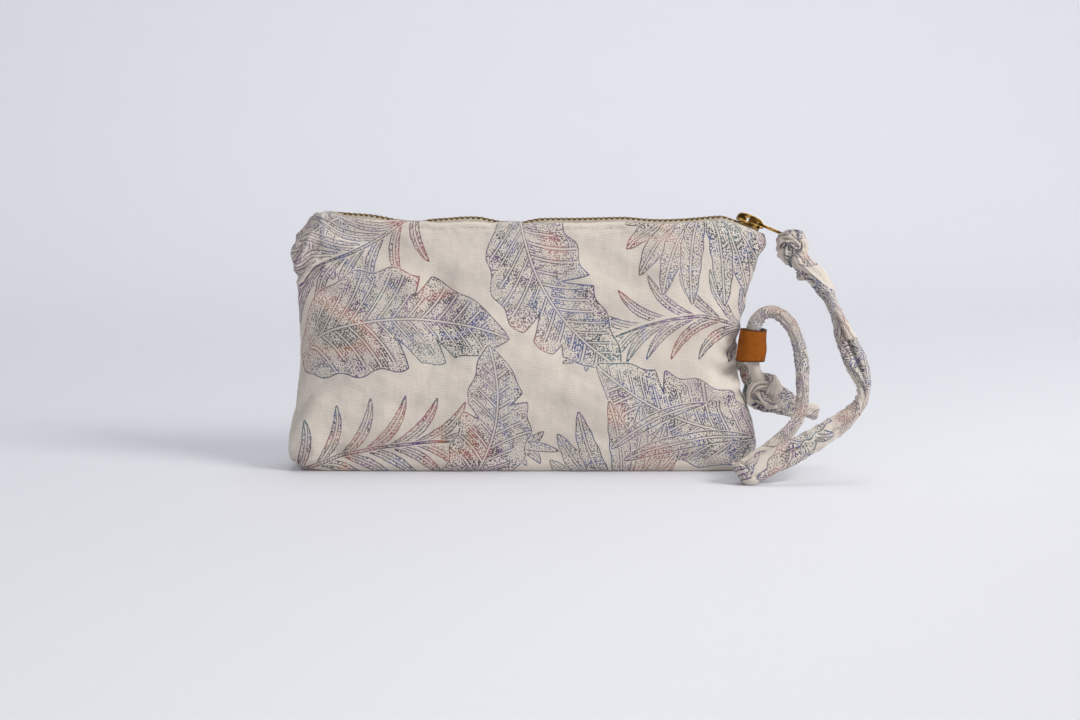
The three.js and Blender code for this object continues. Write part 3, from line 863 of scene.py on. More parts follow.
class PouchShape:
    """The pouch's surfaces, from the settings.

    A share goes from 0 at the foot of the wall to 1 at the mouth. Across goes from -1 at the left seam
    to 1 at the right one.
    """

    def __init__(self):
        cloth = bpy.context.scene.pouch_cloth
        self.cloth = cloth
        self.left_out = smooth_line(
            [(0, 1.5), (0.06, 4.6), (0.12, 6.2), (0.2, 4.4), (0.3, 3), (0.5, 1.5), (0.66, 1.8), (0.76, 2.4),
             (0.8, 2.2), (0.84, 1.8), (0.9, 3.8), (0.95, 4.7), (1, 3.2)], MM)
        self.right_out = smooth_line(
            [(0, -2.5), (0.06, 0.4), (0.12, 1.8), (0.21, 0.5), (0.29, -1.8), (0.36, -5.6), (0.43, -6.4),
             (0.48, -7.3), (0.52, -6.4), (0.56, -6.9), (0.6, -5.6), (0.64, -5.6), (0.7, -2.9), (0.76, -2.2),
             (0.86, 1.2), (0.93, 3), (0.96, 5), (0.98, 6.5), (1, 6.8)], MM)
        self.zip_rise = smooth_line(
            [(-1.05, -9.5), (-1, -5.5), (-0.975, -1.8), (-0.95, 1.3), (-0.92, 2.3), (-0.87, 2.6),
             (-0.76, 1.3), (-0.5, -0.3), (0, -0.5), (0.5, 0.2), (0.85, 0.5), (1.1, 0.5)], MM)
        belly, mouth = cloth.belly / cloth.base, cloth.mouth / cloth.base
        self.depth_share = smooth_line(
            [(0, 0.86), (0.035, 1), (0.25, belly), (0.5, 1.06), (0.8, 0.68), (1, mouth)])
        self.squareness = smooth_line([(0, 7), (0.25, 4.6), (0.6, 3), (0.85, 5), (1, 16)])
        self.slider_x = cloth.width / 2 - 2 * MM
        self.droop_start = self.slider_x - 12.4 * MM
        self.lip_radius = 2.6 * MM
        self.lip_lift = 0.7 * MM

    def across_x(self, across, share, inset=0.0):
        """Where a place across is, between the uneven side seams."""
        left = -self.cloth.width / 2 - self.left_out(share) + inset
        right = self.cloth.width / 2 + self.right_out(share) - inset
        return left + (right - left) * (np.asarray(across) + 1) / 2

    def zip_z(self, x):
        """The height of the mouth before it sways, which droops where the slider is."""
        past = x - self.droop_start
        eased = (past + np.hypot(past, 1.5 * MM)) / 2
        rise = self.zip_rise(x / (self.cloth.width / 2))
        return self.cloth.height + rise - math.tan(bpy.context.scene.pouch_zip.droop) * eased

    def chain_z(self, x):
        """The height of the teeth."""
        return self.zip_z(x) + RIM_SWAY(x / MM) + 0.35 * MM

    def plan_share(self, across, share):
        """How much of a row's depth the pouch has at a place across."""
        power = self.squareness(share)
        return np.power(np.maximum(0, 1 - np.power(np.abs(across), power)), 1 / power)

    def row(self, side, share, inset, columns):
        """One row of the wall, evenly spaced round its plan, and each point's place along the cloth."""
        even = np.linspace(-1, 1, 1600)
        across = np.sin(math.pi / 2 * np.sin(math.pi / 2 * even))
        depth = self.cloth.base / 2 * self.depth_share(share) - inset
        x = self.across_x(across, share, inset)
        y = depth * self.plan_share(across, share)
        lengths = np.concatenate([[0], np.cumsum(np.hypot(np.diff(x), np.diff(y)))])
        wanted = np.linspace(0, lengths[-1], columns)
        across = np.interp(wanted, lengths, across)
        x = np.interp(wanted, lengths, x)
        y = side * (np.interp(wanted, lengths, y) - SEAM_HALF)
        middle = np.interp(0.0, across, wanted)
        along = wanted - middle + np.interp(0.0, across, x)
        return across, x, y, along

    def wall_top(self, across):
        """The height where the wall ends and the lip begins."""
        return self.zip_z(self.across_x(across, 1.0)) + self.lip_lift - self.lip_radius

    def sheet(self, side, inset=0.0, step=None, top_share=1.0, lip=True):
        """Rows of points from the base's seam to the lip, and their places on flat cloth in millimetres."""
        step = step or self.cloth.step
        round_width = 1.12
        columns = int(self.cloth.width * round_width / step)
        points, places = [], []

        def add(x, y, z, along, up):
            points.append(np.stack(np.broadcast_arrays(x, y, z), axis=1))
            places.append(np.stack(np.broadcast_arrays(along, up), axis=1) / MM)

        # The base, from its seam to the foot of the wall
        seam_y = SEAM_BACK - side * SEAM_HALF
        across, foot_x, foot_y, along = self.row(side, 0.0, inset, columns)
        base_steps = max(4, int(self.cloth.base / 2 / step))
        for k in range(base_steps):
            out = k / base_steps
            fan_in = 1 - (1 - out) * (self.cloth.base / self.cloth.width) * 0.9
            y = seam_y + (foot_y - seam_y) * out
            add(foot_x * fan_in, y, inset, along, -(1 - out) * self.cloth.base / 2)
        # The wall
        rows = int(self.cloth.height * top_share / step)
        for share in np.linspace(0, top_share, rows + 1):
            across, x, y, along = self.row(side, share, inset, columns)
            z = inset + share * (self.wall_top(across) - inset)
            add(x, y, z, along, share * self.cloth.height)
        # The lip, which turns in towards the zip and is tucked down behind it
        if lip:
            radius = self.lip_radius - inset
            for turn in np.linspace(0.12, 1.0, 8) * LIP_TURN:
                y_in = radius * (1 - math.cos(turn))
                drawn_in = np.sign(side) * y_in * smoothstep(0, 3 * MM, np.abs(y))
                z = self.wall_top(across) + radius * math.sin(turn)
                add(x, y - drawn_in, z, along, self.cloth.height + radius * turn)
            y_edge, z_edge = points[-1][:, 1], points[-1][:, 2]
            for k in (1, 2, 3):
                y_tuck = y_edge - side * 0.5 * MM * k * smoothstep(0, 3 * MM, np.abs(y_edge))
                add(x, y_tuck, z_edge - 0.7 * MM * k, along, self.cloth.height + (4.5 + k) * MM)
        return np.array(points), np.array(places)


def fold(u, v, start, end, height, width, bow=0.0):
    """A soft ridge on flat cloth from start to end, which fades at both ends."""
    start, end = np.array(start, float), np.array(end, float)
    span = end - start
    length = np.hypot(*span)
    along = ((u - start[0]) * span[0] + (v - start[1]) * span[1]) / length
    aside = ((v - start[1]) * span[0] - (u - start[0]) * span[1]) / length
    share = along / length
    aside = aside - bow * 4 * share * (1 - share)
    fade = smoothstep(-0.15, 0.25, share) * (1 - smoothstep(0.7, 1.15, share))
    spread = width * (0.7 + 0.6 * np.clip(share, 0, 1))
    return height * fade * np.exp(-0.5 * (aside / spread) ** 2)


def gathers(u, v, centre, reach, count, height, seed=0):
    """Small pleats that run out from a point where the cloth is gathered."""
    du, dv = u - centre[0], v - centre[1]
    distance = np.hypot(du, dv)
    angle = np.arctan2(dv, du)
    pleats = np.sin(count * angle + 2.2 * np.sin(2 * angle + seed) + seed)
    return height * pleats * smoothstep(0, 3, distance) * np.exp(-((distance / reach) ** 2))


class Relief:
    """How far one side's cloth stands off its even surface, in millimetres.

    It has soft swells, each with its height, wavelength and seed, and rows of what the functions fold
    and gathers take.
    """

    def __init__(self, swells, folds, gathered):
        self.swells = swells
        self.folds = folds
        self.gathered = gathered

    def __call__(self, u, v):
        relief = sum(height * waves(u, v, length, seed) for height, length, seed in self.swells)
        relief = relief + sum(fold(u, v, *line) for line in self.folds)
        return relief + sum(gathers(u, v, *point) for point in self.gathered)


# The bunched ear at the zip's end
EAR_FOLDS = [
    ((-112, 102), (-101, 112), 1.9, 1.7), ((-112, 106.5), (-102, 115), -1.7, 1.2),
    ((-111, 112), (-103, 121), 1.4, 1.8), ((-112, 100.5), (-97, 107), -2.1, 1.2),
    ((-112, 96), (-101, 101.5), 2.2, 2), ((-111, 93), (-97, 97), -2.4, 1.3),
    ((-99.5, 104), (-101, 97), 1.2, 1.2), ((-104, 113), (-66, 93), 1.6, 4, 3),
    ((-108, 90), (-78, 82), -1.5, 3.5, -2),
]
# Long soft folds
LONG_FOLDS = [
    ((-60, 98), (-50, 56), 2.4, 6, 3), ((-44, 100), (-38, 62), -1.6, 5, 2), ((-10, 60), (24, 36), 1.3, 6, 3),
    ((-74, 40), (-40, 22), -1.5, 5, 2), ((20, 104), (52, 76), 1.3, 6, -3), ((-60, 6), (10, 12), -1.3, 6, 2),
    ((108, 96), (70, 66), 1.9, 4.5, 2), ((106, 90), (78, 62), -1.4, 3, 2),
    ((98, 118), (60, 92), 1.7, 4.5, -3),
]
# The pucker beside the tab
TAB_FOLDS = [
    ((108, 74), (84, 78), 2.0, 3.6, 2), ((108, 68.5), (90, 69), -1.2, 1.4), ((108, 65), (92, 64), 1.1, 1.4),
    ((108, 61.5), (91, 60), -1.2, 1.3), ((108, 58), (90, 55), 1.2, 1.5), ((108, 53.5), (88, 49), -1.9, 1.6),
    ((108, 47), (82, 40), 2.2, 3, 2), ((108, 41), (86, 24), -1.8, 2.8, -2),
]
# The corners of the base, and of the mouth beside the slider
CORNER_FOLDS = [
    ((-89, -4), (-88, 13), -3.4, 4.5), ((-106, -2), (-98, 16), 1.8, 3.4, 1),
    ((-114, 6), (-96, 34), 2.2, 3.6, 2), ((-116, 16), (-102, 42), -2, 2.6, 2),
    ((98, 4), (70, 26), 1.8, 5, 3), ((86, -4), (80, 12), -2, 4), ((109, 116), (107, 104), 0.9, 1.1),
    ((105.5, 116), (104, 104), -0.8, 1.0), ((102.5, 116), (101, 105), 0.7, 1.1),
]
FRONT_RELIEF = Relief(
    [(1.3, 62, 3), (0.7, 24, 5), (0.22, 13, 7)],
    [*EAR_FOLDS, *LONG_FOLDS, *TAB_FOLDS, *CORNER_FOLDS],
    [((-97, 126), 11, 15, 0.75, 1), ((108, 55), 14, 10, 0.8, 4), ((-112, 2), 13, 13, 1.0, 2),
     ((112, 2), 12, 11, 0.8, 3)])
BACK_RELIEF = Relief(
    [(0.8, 58, 13), (0.32, 23, 15)],
    [((-100, 110), (-60, 84), 1.4, 5, 3), ((20, 104), (34, 60), 1.2, 7, -3), ((-30, 20), (30, 30), -1, 7, 2),
     ((100, 96), (66, 70), -1.2, 5, 2)],
    [((-108, 118), 13, 11, 0.9, 6), ((-114, 5), 13, 9, 0.8, 7), ((112, 4), 12, 9, 0.7, 8),
     ((108, 50), 12, 9, 0.7, 9)])

# The limp mouth sags between its ends, zip and all.
RIM_SWAY = smooth_line(
    [(-112, 0), (-90, 0), (-84, 0.1), (-79, 0.2), (-73, 0), (-67, -0.7), (-62, -1.6), (-57, -2.2),
     (-51, -2), (-46, -0.9), (-38, -0.2), (-31, 0.4), (-23, 0.4), (-18, -0.6), (-13, -1.6), (-8, -2.1),
     (-2, -2), (2, -1.1), (7, -0.4), (24, -0.5), (46, -0.4), (52, -0.9), (57, -1.4), (64, -1.7), (71, -1.6),
     (80, -1.1), (88, -0.4), (94, 0), (112, 0)], MM)
# The lip stands a little higher in two places, where it hides the teeth.
LIP_RISE = smooth_line(
    [(-112, 0.3), (-100, 0.5), (-94, 0.3), (-89, -0.6), (-70, -0.7), (-62, 1), (-50, 1.1), (-44, -0.6),
     (-18, -0.7), (-12, 1), (-3, 1), (3, -0.7), (60, -0.8), (96, -0.7), (112, -0.2)], MM)


def shut_share(u):
    """How nearly the two lips meet, towards the ends of the zip."""
    return 1 - smoothstep(-104, -96.5, u) + smoothstep(108.5, 113, u)


def build_panel(side, name, relief, leaves):
    """One side's cloth: the even surface, its folds and seams, and the leaves on it."""
    shape = PouchShape()
    points, places = shape.sheet(side)
    u, v = places[..., 0], places[..., 1]
    height = shape.cloth.height / MM
    normal = normals_of(points) * -side
    side_gap = np.minimum(u - u[:, :1], u[:, -1:] - u)
    on_wall = smoothstep(0, 7, v) * (1 - smoothstep(height - 6, height + 1, v))
    off = relief(u, v) * on_wall * smoothstep(1, 9, side_gap)
    # Unevenness all over, the furrow along the stitches and the puckers beside it
    small = 0.16 * waves(u, v, 9, 21) + 0.08 * waves(u, v, 4.2, 22)
    off += small * smoothstep(0, 3, side_gap) * (0.35 + 0.65 * on_wall)
    stitch_line = height - 0.4
    off -= 0.28 * np.exp(-0.5 * ((v - stitch_line) / 0.5) ** 2) * smoothstep(1, 4, side_gap)
    off += 0.15 * np.exp(-0.5 * ((v - stitch_line + 2.2) / 1.1) ** 2)
    off += 0.25 * waves(u, v, 5.5, 31) * np.exp(-0.5 * ((v - stitch_line) / 2.2) ** 2)
    # Pleats in the bunched ear, then the side seam's furrow and the edge of the base
    pleats = np.sin(2 * math.pi * (u / 3.1 + 0.4 * np.sin(v * 0.3))) * np.exp(-(((u + 100) / 6) ** 2))
    off += 0.42 * pleats * smoothstep(104, 112, v) * smoothstep(1, 4, side_gap)
    seam = np.exp(-0.5 * (side_gap / 0.9) ** 2)
    off -= 0.9 * seam * smoothstep(3, 9, v)
    foot = np.exp(-0.5 * (v / 1.6) ** 2)
    off -= 0.35 * foot
    points = points + normal * (off * MM)[..., None]
    # The mouth's sway, and its ends drawn together
    points[..., 2] += (RIM_SWAY(u) + LIP_RISE(u)) * smoothstep(height - 9, height, v)
    shut = shut_share(u) * smoothstep(height - 9, height + 1, v)
    points[..., 1] *= 1 - LIPS_SHUT * shut
    points[..., 0] -= 1.6 * MM * smoothstep(106, 120, u) * smoothstep(height - 1, height + 4, v)
    points[..., 0] += 1.5 * MM * (1 - smoothstep(-120, -108, u)) * smoothstep(height - 3, height + 3, v)
    points[..., 2] = np.maximum(points[..., 2], 0.15 * MM)
    mesh = grid_mesh(name, points, flip=side > 0)
    print_leaves(mesh, corner_values(places, flip=side > 0), leaves)
    return mesh


def built(operator):
    """Says that an operator's pieces are made, and ends it."""
    operator.report({"INFO"}, operator.bl_label + " is made")
    return {"FINISHED"}


class POUCH_OT_outer_cloth(bpy.types.Operator):
    """Makes the printed cloth of the front and the back."""

    bl_idname = "pouch.outer_cloth"
    bl_label = "Outer cloth"
    bl_options = {"REGISTER", "UNDO"}

    def execute(self, context):
        cloth = kept_material("Printed cloth", printed_cloth)
        front = build_panel(-1, "front_cloth", FRONT_RELIEF, front_leaves())
        back = build_panel(1, "back_cloth", BACK_RELIEF, back_leaves())
        add_piece("front_cloth", front, cloth, "pouch", ["outer_front_panel"])
        add_piece("back_cloth", back, cloth, "pouch", ["outer_back_panel"])
        return built(self)


class POUCH_OT_lining(bpy.types.Operator):
    """Makes the lining, front and back."""

    bl_idname = "pouch.lining"
    bl_label = "Lining"
    bl_options = {"REGISTER", "UNDO"}

    def execute(self, context):
        shape = PouchShape()
        lining = kept_material("Lining", lining_cloth)
        for side, word, relief in ((-1, "front", FRONT_RELIEF), (1, "back", BACK_RELIEF)):
            points, places = shape.sheet(side, 1.8 * MM, 2 * MM, 0.9, lip=False)
            u, v = places[..., 0], places[..., 1]
            hollow = np.clip(-relief(u, v), 0, None) * smoothstep(0, 10, v)
            sag = hollow + 0.3 + 0.4 * np.abs(waves(u, v, 26, 41 + side))
            points = points - normals_of(points) * -side * (sag * MM)[..., None]
            points[..., 1] = side * np.maximum(side * points[..., 1], 0.4 * MM)
            name = "lining_" + word + "_cloth"
            mesh = grid_mesh(name, points, flip=side > 0)
            add_piece(name, mesh, lining, "pouch", ["lining_" + word])
        return built(self)


# The zip


# Places along the zip
FIRST_TOOTH = -86.55 * MM
BOTTOM_STOP = -88.5 * MM


def chain_frame(x):
    """The height and slope of the zip's line at x."""
    shape = PouchShape()
    ahead = 0.5 * MM
    slope = (shape.chain_z(x + ahead) - shape.chain_z(x - ahead)) / (2 * ahead)
    return shape.chain_z(x), slope


def tooth_mesh():
    """One tooth, clasped on the tape at one end and with its cup at the other."""
    outline = loop_mm(
        [(-0.62, -2.5), (0.62, -2.5), (0.62, -0.9), (0.4, 0.75), (-0.4, 0.75), (-0.62, -0.9)], 0.35)
    body = plate("tooth", [outline], 1.7 * MM, 0.28 * MM, 1)
    jaw = loop_mm([(-0.48, -2.95), (0.48, -2.95), (0.6, -1.2), (-0.6, -1.2)], 0.25)
    clasp = plate("clasp", [jaw], 2.7 * MM, 0.34 * MM, 2)
    return joined_mesh("tooth", [body, clasp])


def row_of_teeth(side):
    """One side's teeth, from the bottom stop to the slider, those at the back half a pitch further on."""
    settings = bpy.context.scene.pouch_zip
    tooth = tooth_mesh()
    base = np.array([vertex.co for vertex in tooth.vertices])
    base[:, 1] *= -side
    faces = [tuple(face.vertices)[::-side] for face in tooth.polygons]
    points, all_faces = [], []
    start = FIRST_TOOTH + (settings.pitch / 2 if side > 0 else 0)
    end = PouchShape().slider_x - 4.5 * MM
    for i in range(settings.teeth):
        x = start + i * settings.pitch
        if x > end:
            break
        z, slope = chain_frame(x)
        along, up = turned(base[:, 0], base[:, 2], math.atan(slope))
        points.append(np.stack([along + x, base[:, 1], up + z], axis=1))
        all_faces.extend(tuple(len(base) * i + k for k in face) for face in faces)
    mesh = bpy.data.meshes.new("teeth")
    mesh.from_pydata(np.concatenate(points).tolist(), [], all_faces)
    mesh.shade_smooth()
    bpy.data.meshes.remove(tooth)
    return mesh


def tape_mesh(side):
    """The tape's visible strip, from under the lip to the teeth, with its corded edge."""
    x = np.arange(-98.6, 110, 1.2) * MM
    z, _ = chain_frame(x)
    z = z - 1.6 * MM * (1 - smoothstep(-98 * MM, -92 * MM, x))
    profile = [(7.4, -2.4), (6.2, -0.6), (5.2, 0.2), (4.2, 0.32), (3.3, 0.2), (2.8, 0.78), (2.3, 1.0),
               (1.8, 0.78), (1.35, 0.1), (1.7, -0.45), (2.2, -0.6)]
    rows = [np.stack([x, np.full(len(x), side * y * MM), z + h * MM], axis=1) for y, h in profile]
    return grid_mesh("tape", np.array(rows), flip=side < 0)


class POUCH_OT_zip(bpy.types.Operator):
    """Makes the zip's teeth, tapes, stops, end tab and stitching."""

    bl_idname = "pouch.zip"
    bl_label = "Zip"
    bl_options = {"REGISTER", "UNDO"}

    def execute(self, context):
        # The teeth, stops and bottom clamp get the brass that is nearly all painted shade
        brass = kept_material("Dark brass", dark_brass)
        tape = kept_material("Tape", tape_cloth)
        for side, word in ((-1, "front"), (1, "back")):
            teeth = row_of_teeth(side)
            add_piece("teeth_" + word, teeth, brass, "pouch", ["zip_teeth_" + word])
            add_piece("tape_" + word, tape_mesh(side), tape, "pouch", ["zip_tape_" + word])
            self.stop(side, word, brass)
            self.stitches(side, word)
        self.bottom_stop(brass)
        self.end_tab()
        return built(self)

    def stop(self, side, word, brass):
        """A small clamp at the end of a row."""
        x = PouchShape().slider_x + 1.45 * MM
        z, slope = chain_frame(x)
        outline = loop_mm([(-0.9, -0.6), (0.9, -0.6), (0.9, 0.6), (-0.9, 0.6)], 0.3)
        clamp = plate("stop", [outline], 1.7 * MM, 0.3 * MM)
        mesh = placed(clamp, (x, side * 1.9 * MM, z - 0.3 * MM), -math.atan(slope))
        add_piece("stop_" + word, mesh, brass, "pouch", ["top_stop_" + word])

    def bottom_stop(self, brass):
        """The clamp that holds both rows together, with a pressed groove."""
        z, slope = chain_frame(BOTTOM_STOP)
        outline = loop_mm([(-1.2, -2.4), (-0.3, -2.4), (-0.1, -2.1), (0.3, -2.4), (1.2, -2.4),
                           (1.2, 2.4), (-1.2, 2.4)], 0.4)
        clamp = plate("bottom_clamp", [outline], 2.4 * MM, 0.4 * MM)
        mesh = placed(clamp, (BOTTOM_STOP, 0, z), -math.atan(slope))
        add_piece("bottom_clamp", mesh, brass, "pouch", ["bottom_stop"])

    def end_tab(self):
        """The cloth that covers the zip's end."""
        cloth = kept_material("Printed cloth", printed_cloth)
        x = np.linspace(-104, -90.2, 24) * MM
        gap = bpy.context.scene.pouch_cloth.mouth / 2 * (1 - LIPS_SHUT * shut_share(x / MM)) - 0.3 * MM
        widest = 3.6 * MM
        half = np.clip(gap, 0.1 * MM, widest)
        across = np.linspace(-1, 1, 15)
        y = half[None] * across[:, None]
        z, _ = chain_frame(x)
        crown = 1.3 * MM * (1 - 0.85 * across**2)[:, None] * smoothstep(-104 * MM, -95 * MM, x)[None]
        wrinkle = 0.2 * MM * waves(x[None] / MM, y / MM, 4, 51) * half[None] / widest
        points = np.stack(np.broadcast_arrays(x[None], y, z[None] + crown + wrinkle), axis=2)
        up_the_cloth = 124 * MM
        places = np.stack(np.broadcast_arrays(x[None], y + up_the_cloth), axis=2) / MM
        mesh = grid_mesh("end_tab", points)
        print_leaves(mesh, corner_values(places), front_leaves())
        add_piece("end_tab", mesh, cloth, "pouch", ["zip_end_tab"])

    def stitches(self, side, word):
        """A row of sunken stitches under the lip."""
        thread = kept_material("Thread", sewing_thread)
        shape = PouchShape()
        share = 1 - 0.4 * MM / shape.cloth.height
        across, x, y, along = shape.row(side, share, 0.0, 1200)
        z = share * shape.wall_top(across) + RIM_SWAY(along / MM) + LIP_RISE(along / MM)
        line = np.stack([x, y, z], axis=1)
        pitch, length, radius = 2.9 * MM, 2.2 * MM, 0.17 * MM
        bow = np.sin(np.linspace(0, math.pi, 6))
        meshes = []
        for start in np.arange(-97 * MM, 103 * MM, pitch):
            lengths = np.linspace(start, start + length, len(bow))
            centre = np.stack([np.interp(lengths, along, line[:, k]) for k in range(3)], axis=1)
            centre[:, 1] += side * (bow * 0.22 - 0.3) * MM
            meshes.append(tube_mesh(centre, radius * (0.45 + 0.55 * bow), 6))
        mesh = joined_mesh("stitches", meshes)
        mesh.shade_smooth()
        add_piece("stitches_" + word, mesh, thread, "pouch", ["zip_stitching_" + word])


def tube_mesh(line, radii, sides):
    """A small round tube along a line, whose radius changes."""
    tangent = unit(np.gradient(line, axis=0))
    first = unit(np.cross(tangent, [0.13, 0.9, 0.4]))
    second = np.cross(tangent, first)
    turn = full_turn(sides)[None, :, None]
    ring = first[:, None] * np.cos(turn) + second[:, None] * np.sin(turn)
    return grid_mesh("tube", line[:, None] + ring * np.asarray(radii)[:, None, None], wrap=True)


class POUCH_OT_slider(bpy.types.Operator):
    """Makes the slider: its body, crown and lock spring, and the pull."""

    bl_idname = "pouch.slider"
    bl_label = "Slider and pull"
    bl_options = {"REGISTER", "UNDO"}

    def execute(self, context):
        shape = PouchShape()
        self.tilt = context.scene.pouch_zip.droop
        self.x = float(shape.slider_x)
        self.z = float(shape.chain_z(shape.slider_x))
        brass = kept_material("Aged brass", brass_with_painted_shade)
        dark = kept_material("Dark brass", dark_brass)
        parts = [
            ("slider_plates", self.plates(), "slider", "slider_body"),
            ("slider_bridge", self.crown(), "slider", "slider_crown"),
            ("slider_spring", self.spring(), "slider", "slider_lock_spring"),
            ("pull_plate", self.pull(), "pull", "pull_tab"),
        ]
        for name, mesh, body, node in parts:
            # The spring gets the brass that is nearly all painted shade, as the shade under the crown
            finish = dark if name == "slider_spring" else brass
            add_piece(name, placed(mesh, (self.x, 0, self.z), self.tilt), finish, body, [node])
        return built(self)

    def plates(self):
        """Two plates with turned edges, joined by the post at the nose."""
        outline = loop_mm(
            [(-6.2, -3.9), (-0.5, -4.6), (6.2, -4.6), (6.2, 4.6), (-0.5, 4.6), (-6.2, 3.9)], 1.6, 6)
        top = placed(plate("top", [outline], 1.15 * MM, 0.3 * MM), (0, 0, 2.2 * MM))
        bottom = placed(plate("bottom", [outline], 0.95 * MM, 0.3 * MM), (0, 0, -2.55 * MM))
        meshes = [top, bottom]
        for side in (-1, 1):
            edge = [(-4.4, 3.1), (0, 3.75), (4.6, 3.75), (4.6, 4.55), (0, 4.55), (-4.4, 3.9)]
            lip = loop_mm([(x, side * y) for x, y in edge], 0.3)
            meshes.append(placed(plate("lip", [lip], 1.4 * MM, 0.25 * MM), (0, 0, 1.35 * MM)))
            meshes.append(placed(plate("lip", [lip], 0.8 * MM, 0.25 * MM), (0, 0, -2.15 * MM)))
        post = [(1.6 * math.cos(a) * MM, math.sin(a) * MM) for a in full_turn(20)]
        meshes.append(placed(plate("post", [post], 4.4 * MM, 0.1 * MM), (3.6 * MM, 0, -0.2 * MM)))
        boss = loop_mm([(-5.9, -1.7), (-3.9, -1.9), (-3.9, 1.9), (-5.9, 1.7)], 0.7, 4)
        meshes.append(placed(plate("boss", [boss], 0.9 * MM, 0.3 * MM), (0, 0, 2.75 * MM)))
        return cast(joined_mesh("slider_plates", meshes), 0.13 * MM)

    def crown(self):
        """The bridge over the pull's eye: a thin top, a slim leg at the nose and a broad one at the tail."""
        outline = [(-6.3, 2.3), (-6.5, 3.4), (-6.2, 4.5), (-5.2, 5.45), (-3.6, 5.85), (-1, 5.9), (2, 5.7),
                   (4.4, 5.25), (5.7, 4.4), (6.05, 3.3), (6.0, 2.3), (5.0, 2.3), (4.9, 3.4), (4.2, 4.15),
                   (2, 4.55), (-1, 4.75), (-2.0, 4.5), (-2.3, 3.9), (-2.4, 2.3)]
        hollow = [(-5.4, 3.0), (-5.5, 4.0), (-4.9, 4.7), (-3.9, 4.75), (-3.6, 4.0), (-3.7, 3.0)]
        loops = [loop_mm(outline, 0.5), loop_mm(hollow, 0.5)]
        bridge = placed(plate("bridge", loops, 3.2 * MM, 0.3 * MM), (0, 0, 0), 0, math.pi / 2)
        core = [(x * MM, z * MM) for x, z in ((-5.8, 2.4), (-5.8, 5.0), (-3.2, 5.0), (-3.2, 2.4))]
        inner = placed(plate("core", [core], 1.7 * MM, 0.1 * MM), (0, 0, 0), 0, math.pi / 2)
        return cast(joined_mesh("bridge", [bridge, inner]), 0.12 * MM)

    def spring(self):
        """A leaf of sprung brass under the crown, with the tooth that locks the slider."""
        outline = loop_mm([(-0.7, -0.9), (4.4, -0.9), (4.4, 0.9), (-0.7, 0.9)], 0.3)
        leaf = placed(plate("leaf", [outline], 0.4 * MM, 0.1 * MM), (0, 0, 4.1 * MM), 0.04)
        side = loop_mm([(-0.7, 1.4), (2.0, 1.4), (3.0, 4.2), (-0.7, 4.2)], 0.3)
        tooth = placed(plate("tooth", [side], 1.3 * MM, 0.2 * MM), (0, 0, 0), 0, math.pi / 2)
        return joined_mesh("leaf", [leaf, tooth])

    def pull(self):
        """The pull: an eye round the crown's foot, a slim neck, and a rounded end with a hole."""
        steps = 3
        near = loop_mm([(-0.45, -3), (2.4, -3), (5, -2.3), (15, -2.75)], 0.6, steps)[:3 * (steps + 1)]
        half_turn = np.linspace(-math.pi / 2, math.pi / 2, 14)
        end = [(18 * MM + 3 * MM * math.cos(a), 3 * MM * math.sin(a)) for a in half_turn]
        far = [(x, -y) for x, y in near[::-1]]
        window = loop_mm([(0.45, -2), (2.35, -2), (2.35, 2), (0.45, 2)], 0.3)
        hole = [(17.4 * MM + 2 * MM * math.cos(a), 1.5 * MM * math.sin(a)) for a in full_turn(20)]
        mesh = plate("pull", [[*near, *end, *far], window, hole], 1.4 * MM, 0.4 * MM)
        return placed(cast(mesh, 0.12 * MM), (3.65 * MM, 0, 3.45 * MM), math.radians(3))


# The strap, its knots and the bead

# The lines that the strap's pieces follow, in metres.
FRONT_ROUTE = [
    (0.1276, -0.0115, 0.1015), (0.1315, -0.0155, 0.098), (0.1366, -0.019, 0.0926), (0.1406, -0.022, 0.086),
    (0.1436, -0.025, 0.0786), (0.1464, -0.0276, 0.0714), (0.1486, -0.03, 0.0646), (0.151, -0.032, 0.0584),
    (0.1534, -0.0344, 0.052), (0.1551, -0.0366, 0.0466), (0.1556, -0.038, 0.042), (0.1544, -0.0396, 0.0376),
    (0.151, -0.041, 0.0334), (0.1456, -0.0424, 0.0288), (0.139, -0.044, 0.0244), (0.1316, -0.046, 0.0202),
    (0.1236, -0.048, 0.0162), (0.115, -0.0496, 0.012), (0.107, -0.0508, 0.0082), (0.1006, -0.0514, 0.0056),
]
SIDE_ROUTE = [
    (0.0994, -0.0434, 0.006), (0.1054, -0.042, 0.01), (0.112, -0.04, 0.0148), (0.1194, -0.037, 0.0208),
    (0.125, -0.034, 0.026), (0.128, -0.031, 0.032), (0.1289, -0.028, 0.039), (0.1291, -0.025, 0.047),
    (0.129, -0.0224, 0.054), (0.1282, -0.02, 0.0603), (0.1263, -0.0178, 0.0662), (0.1233, -0.0158, 0.0718),
    (0.1196, -0.014, 0.0754), (0.1152, -0.0128, 0.0766), (0.1112, -0.0122, 0.075), (0.1084, -0.012, 0.0712),
    (0.1072, -0.012, 0.066), (0.1068, -0.012, 0.0604), (0.1069, -0.012, 0.055), (0.1078, -0.0112, 0.0504),
    (0.1098, -0.0098, 0.0456), (0.112, -0.008, 0.041),
]
TAIL_ROUTE = [
    (0.1165, -0.0052, 0.0352), (0.119, -0.0045, 0.034), (0.126, -0.002, 0.0304), (0.133, 0, 0.028),
    (0.1412, 0.002, 0.026),
]
TAB_ROUTE = [
    (0.1, 0.0004, 0.0498), (0.1012, 0.0002, 0.0497), (0.1023, -0.0006, 0.0494), (0.104, -0.001, 0.0489),
    (0.1048, -0.0026, 0.045), (0.1062, -0.0042, 0.0415), (0.109, -0.006, 0.038),
]
FOLD_ROUTE = [
    (0.1035, -0.0511, 0.0067), (0.1006, -0.0514, 0.0056), (0.0972, -0.0511, 0.0052),
    (0.0953, -0.0497, 0.005), (0.0946, -0.0474, 0.005), (0.0952, -0.0451, 0.005),
    (0.097, -0.0437, 0.0054), (0.0994, -0.0434, 0.006), (0.1022, -0.0428, 0.0078),
]
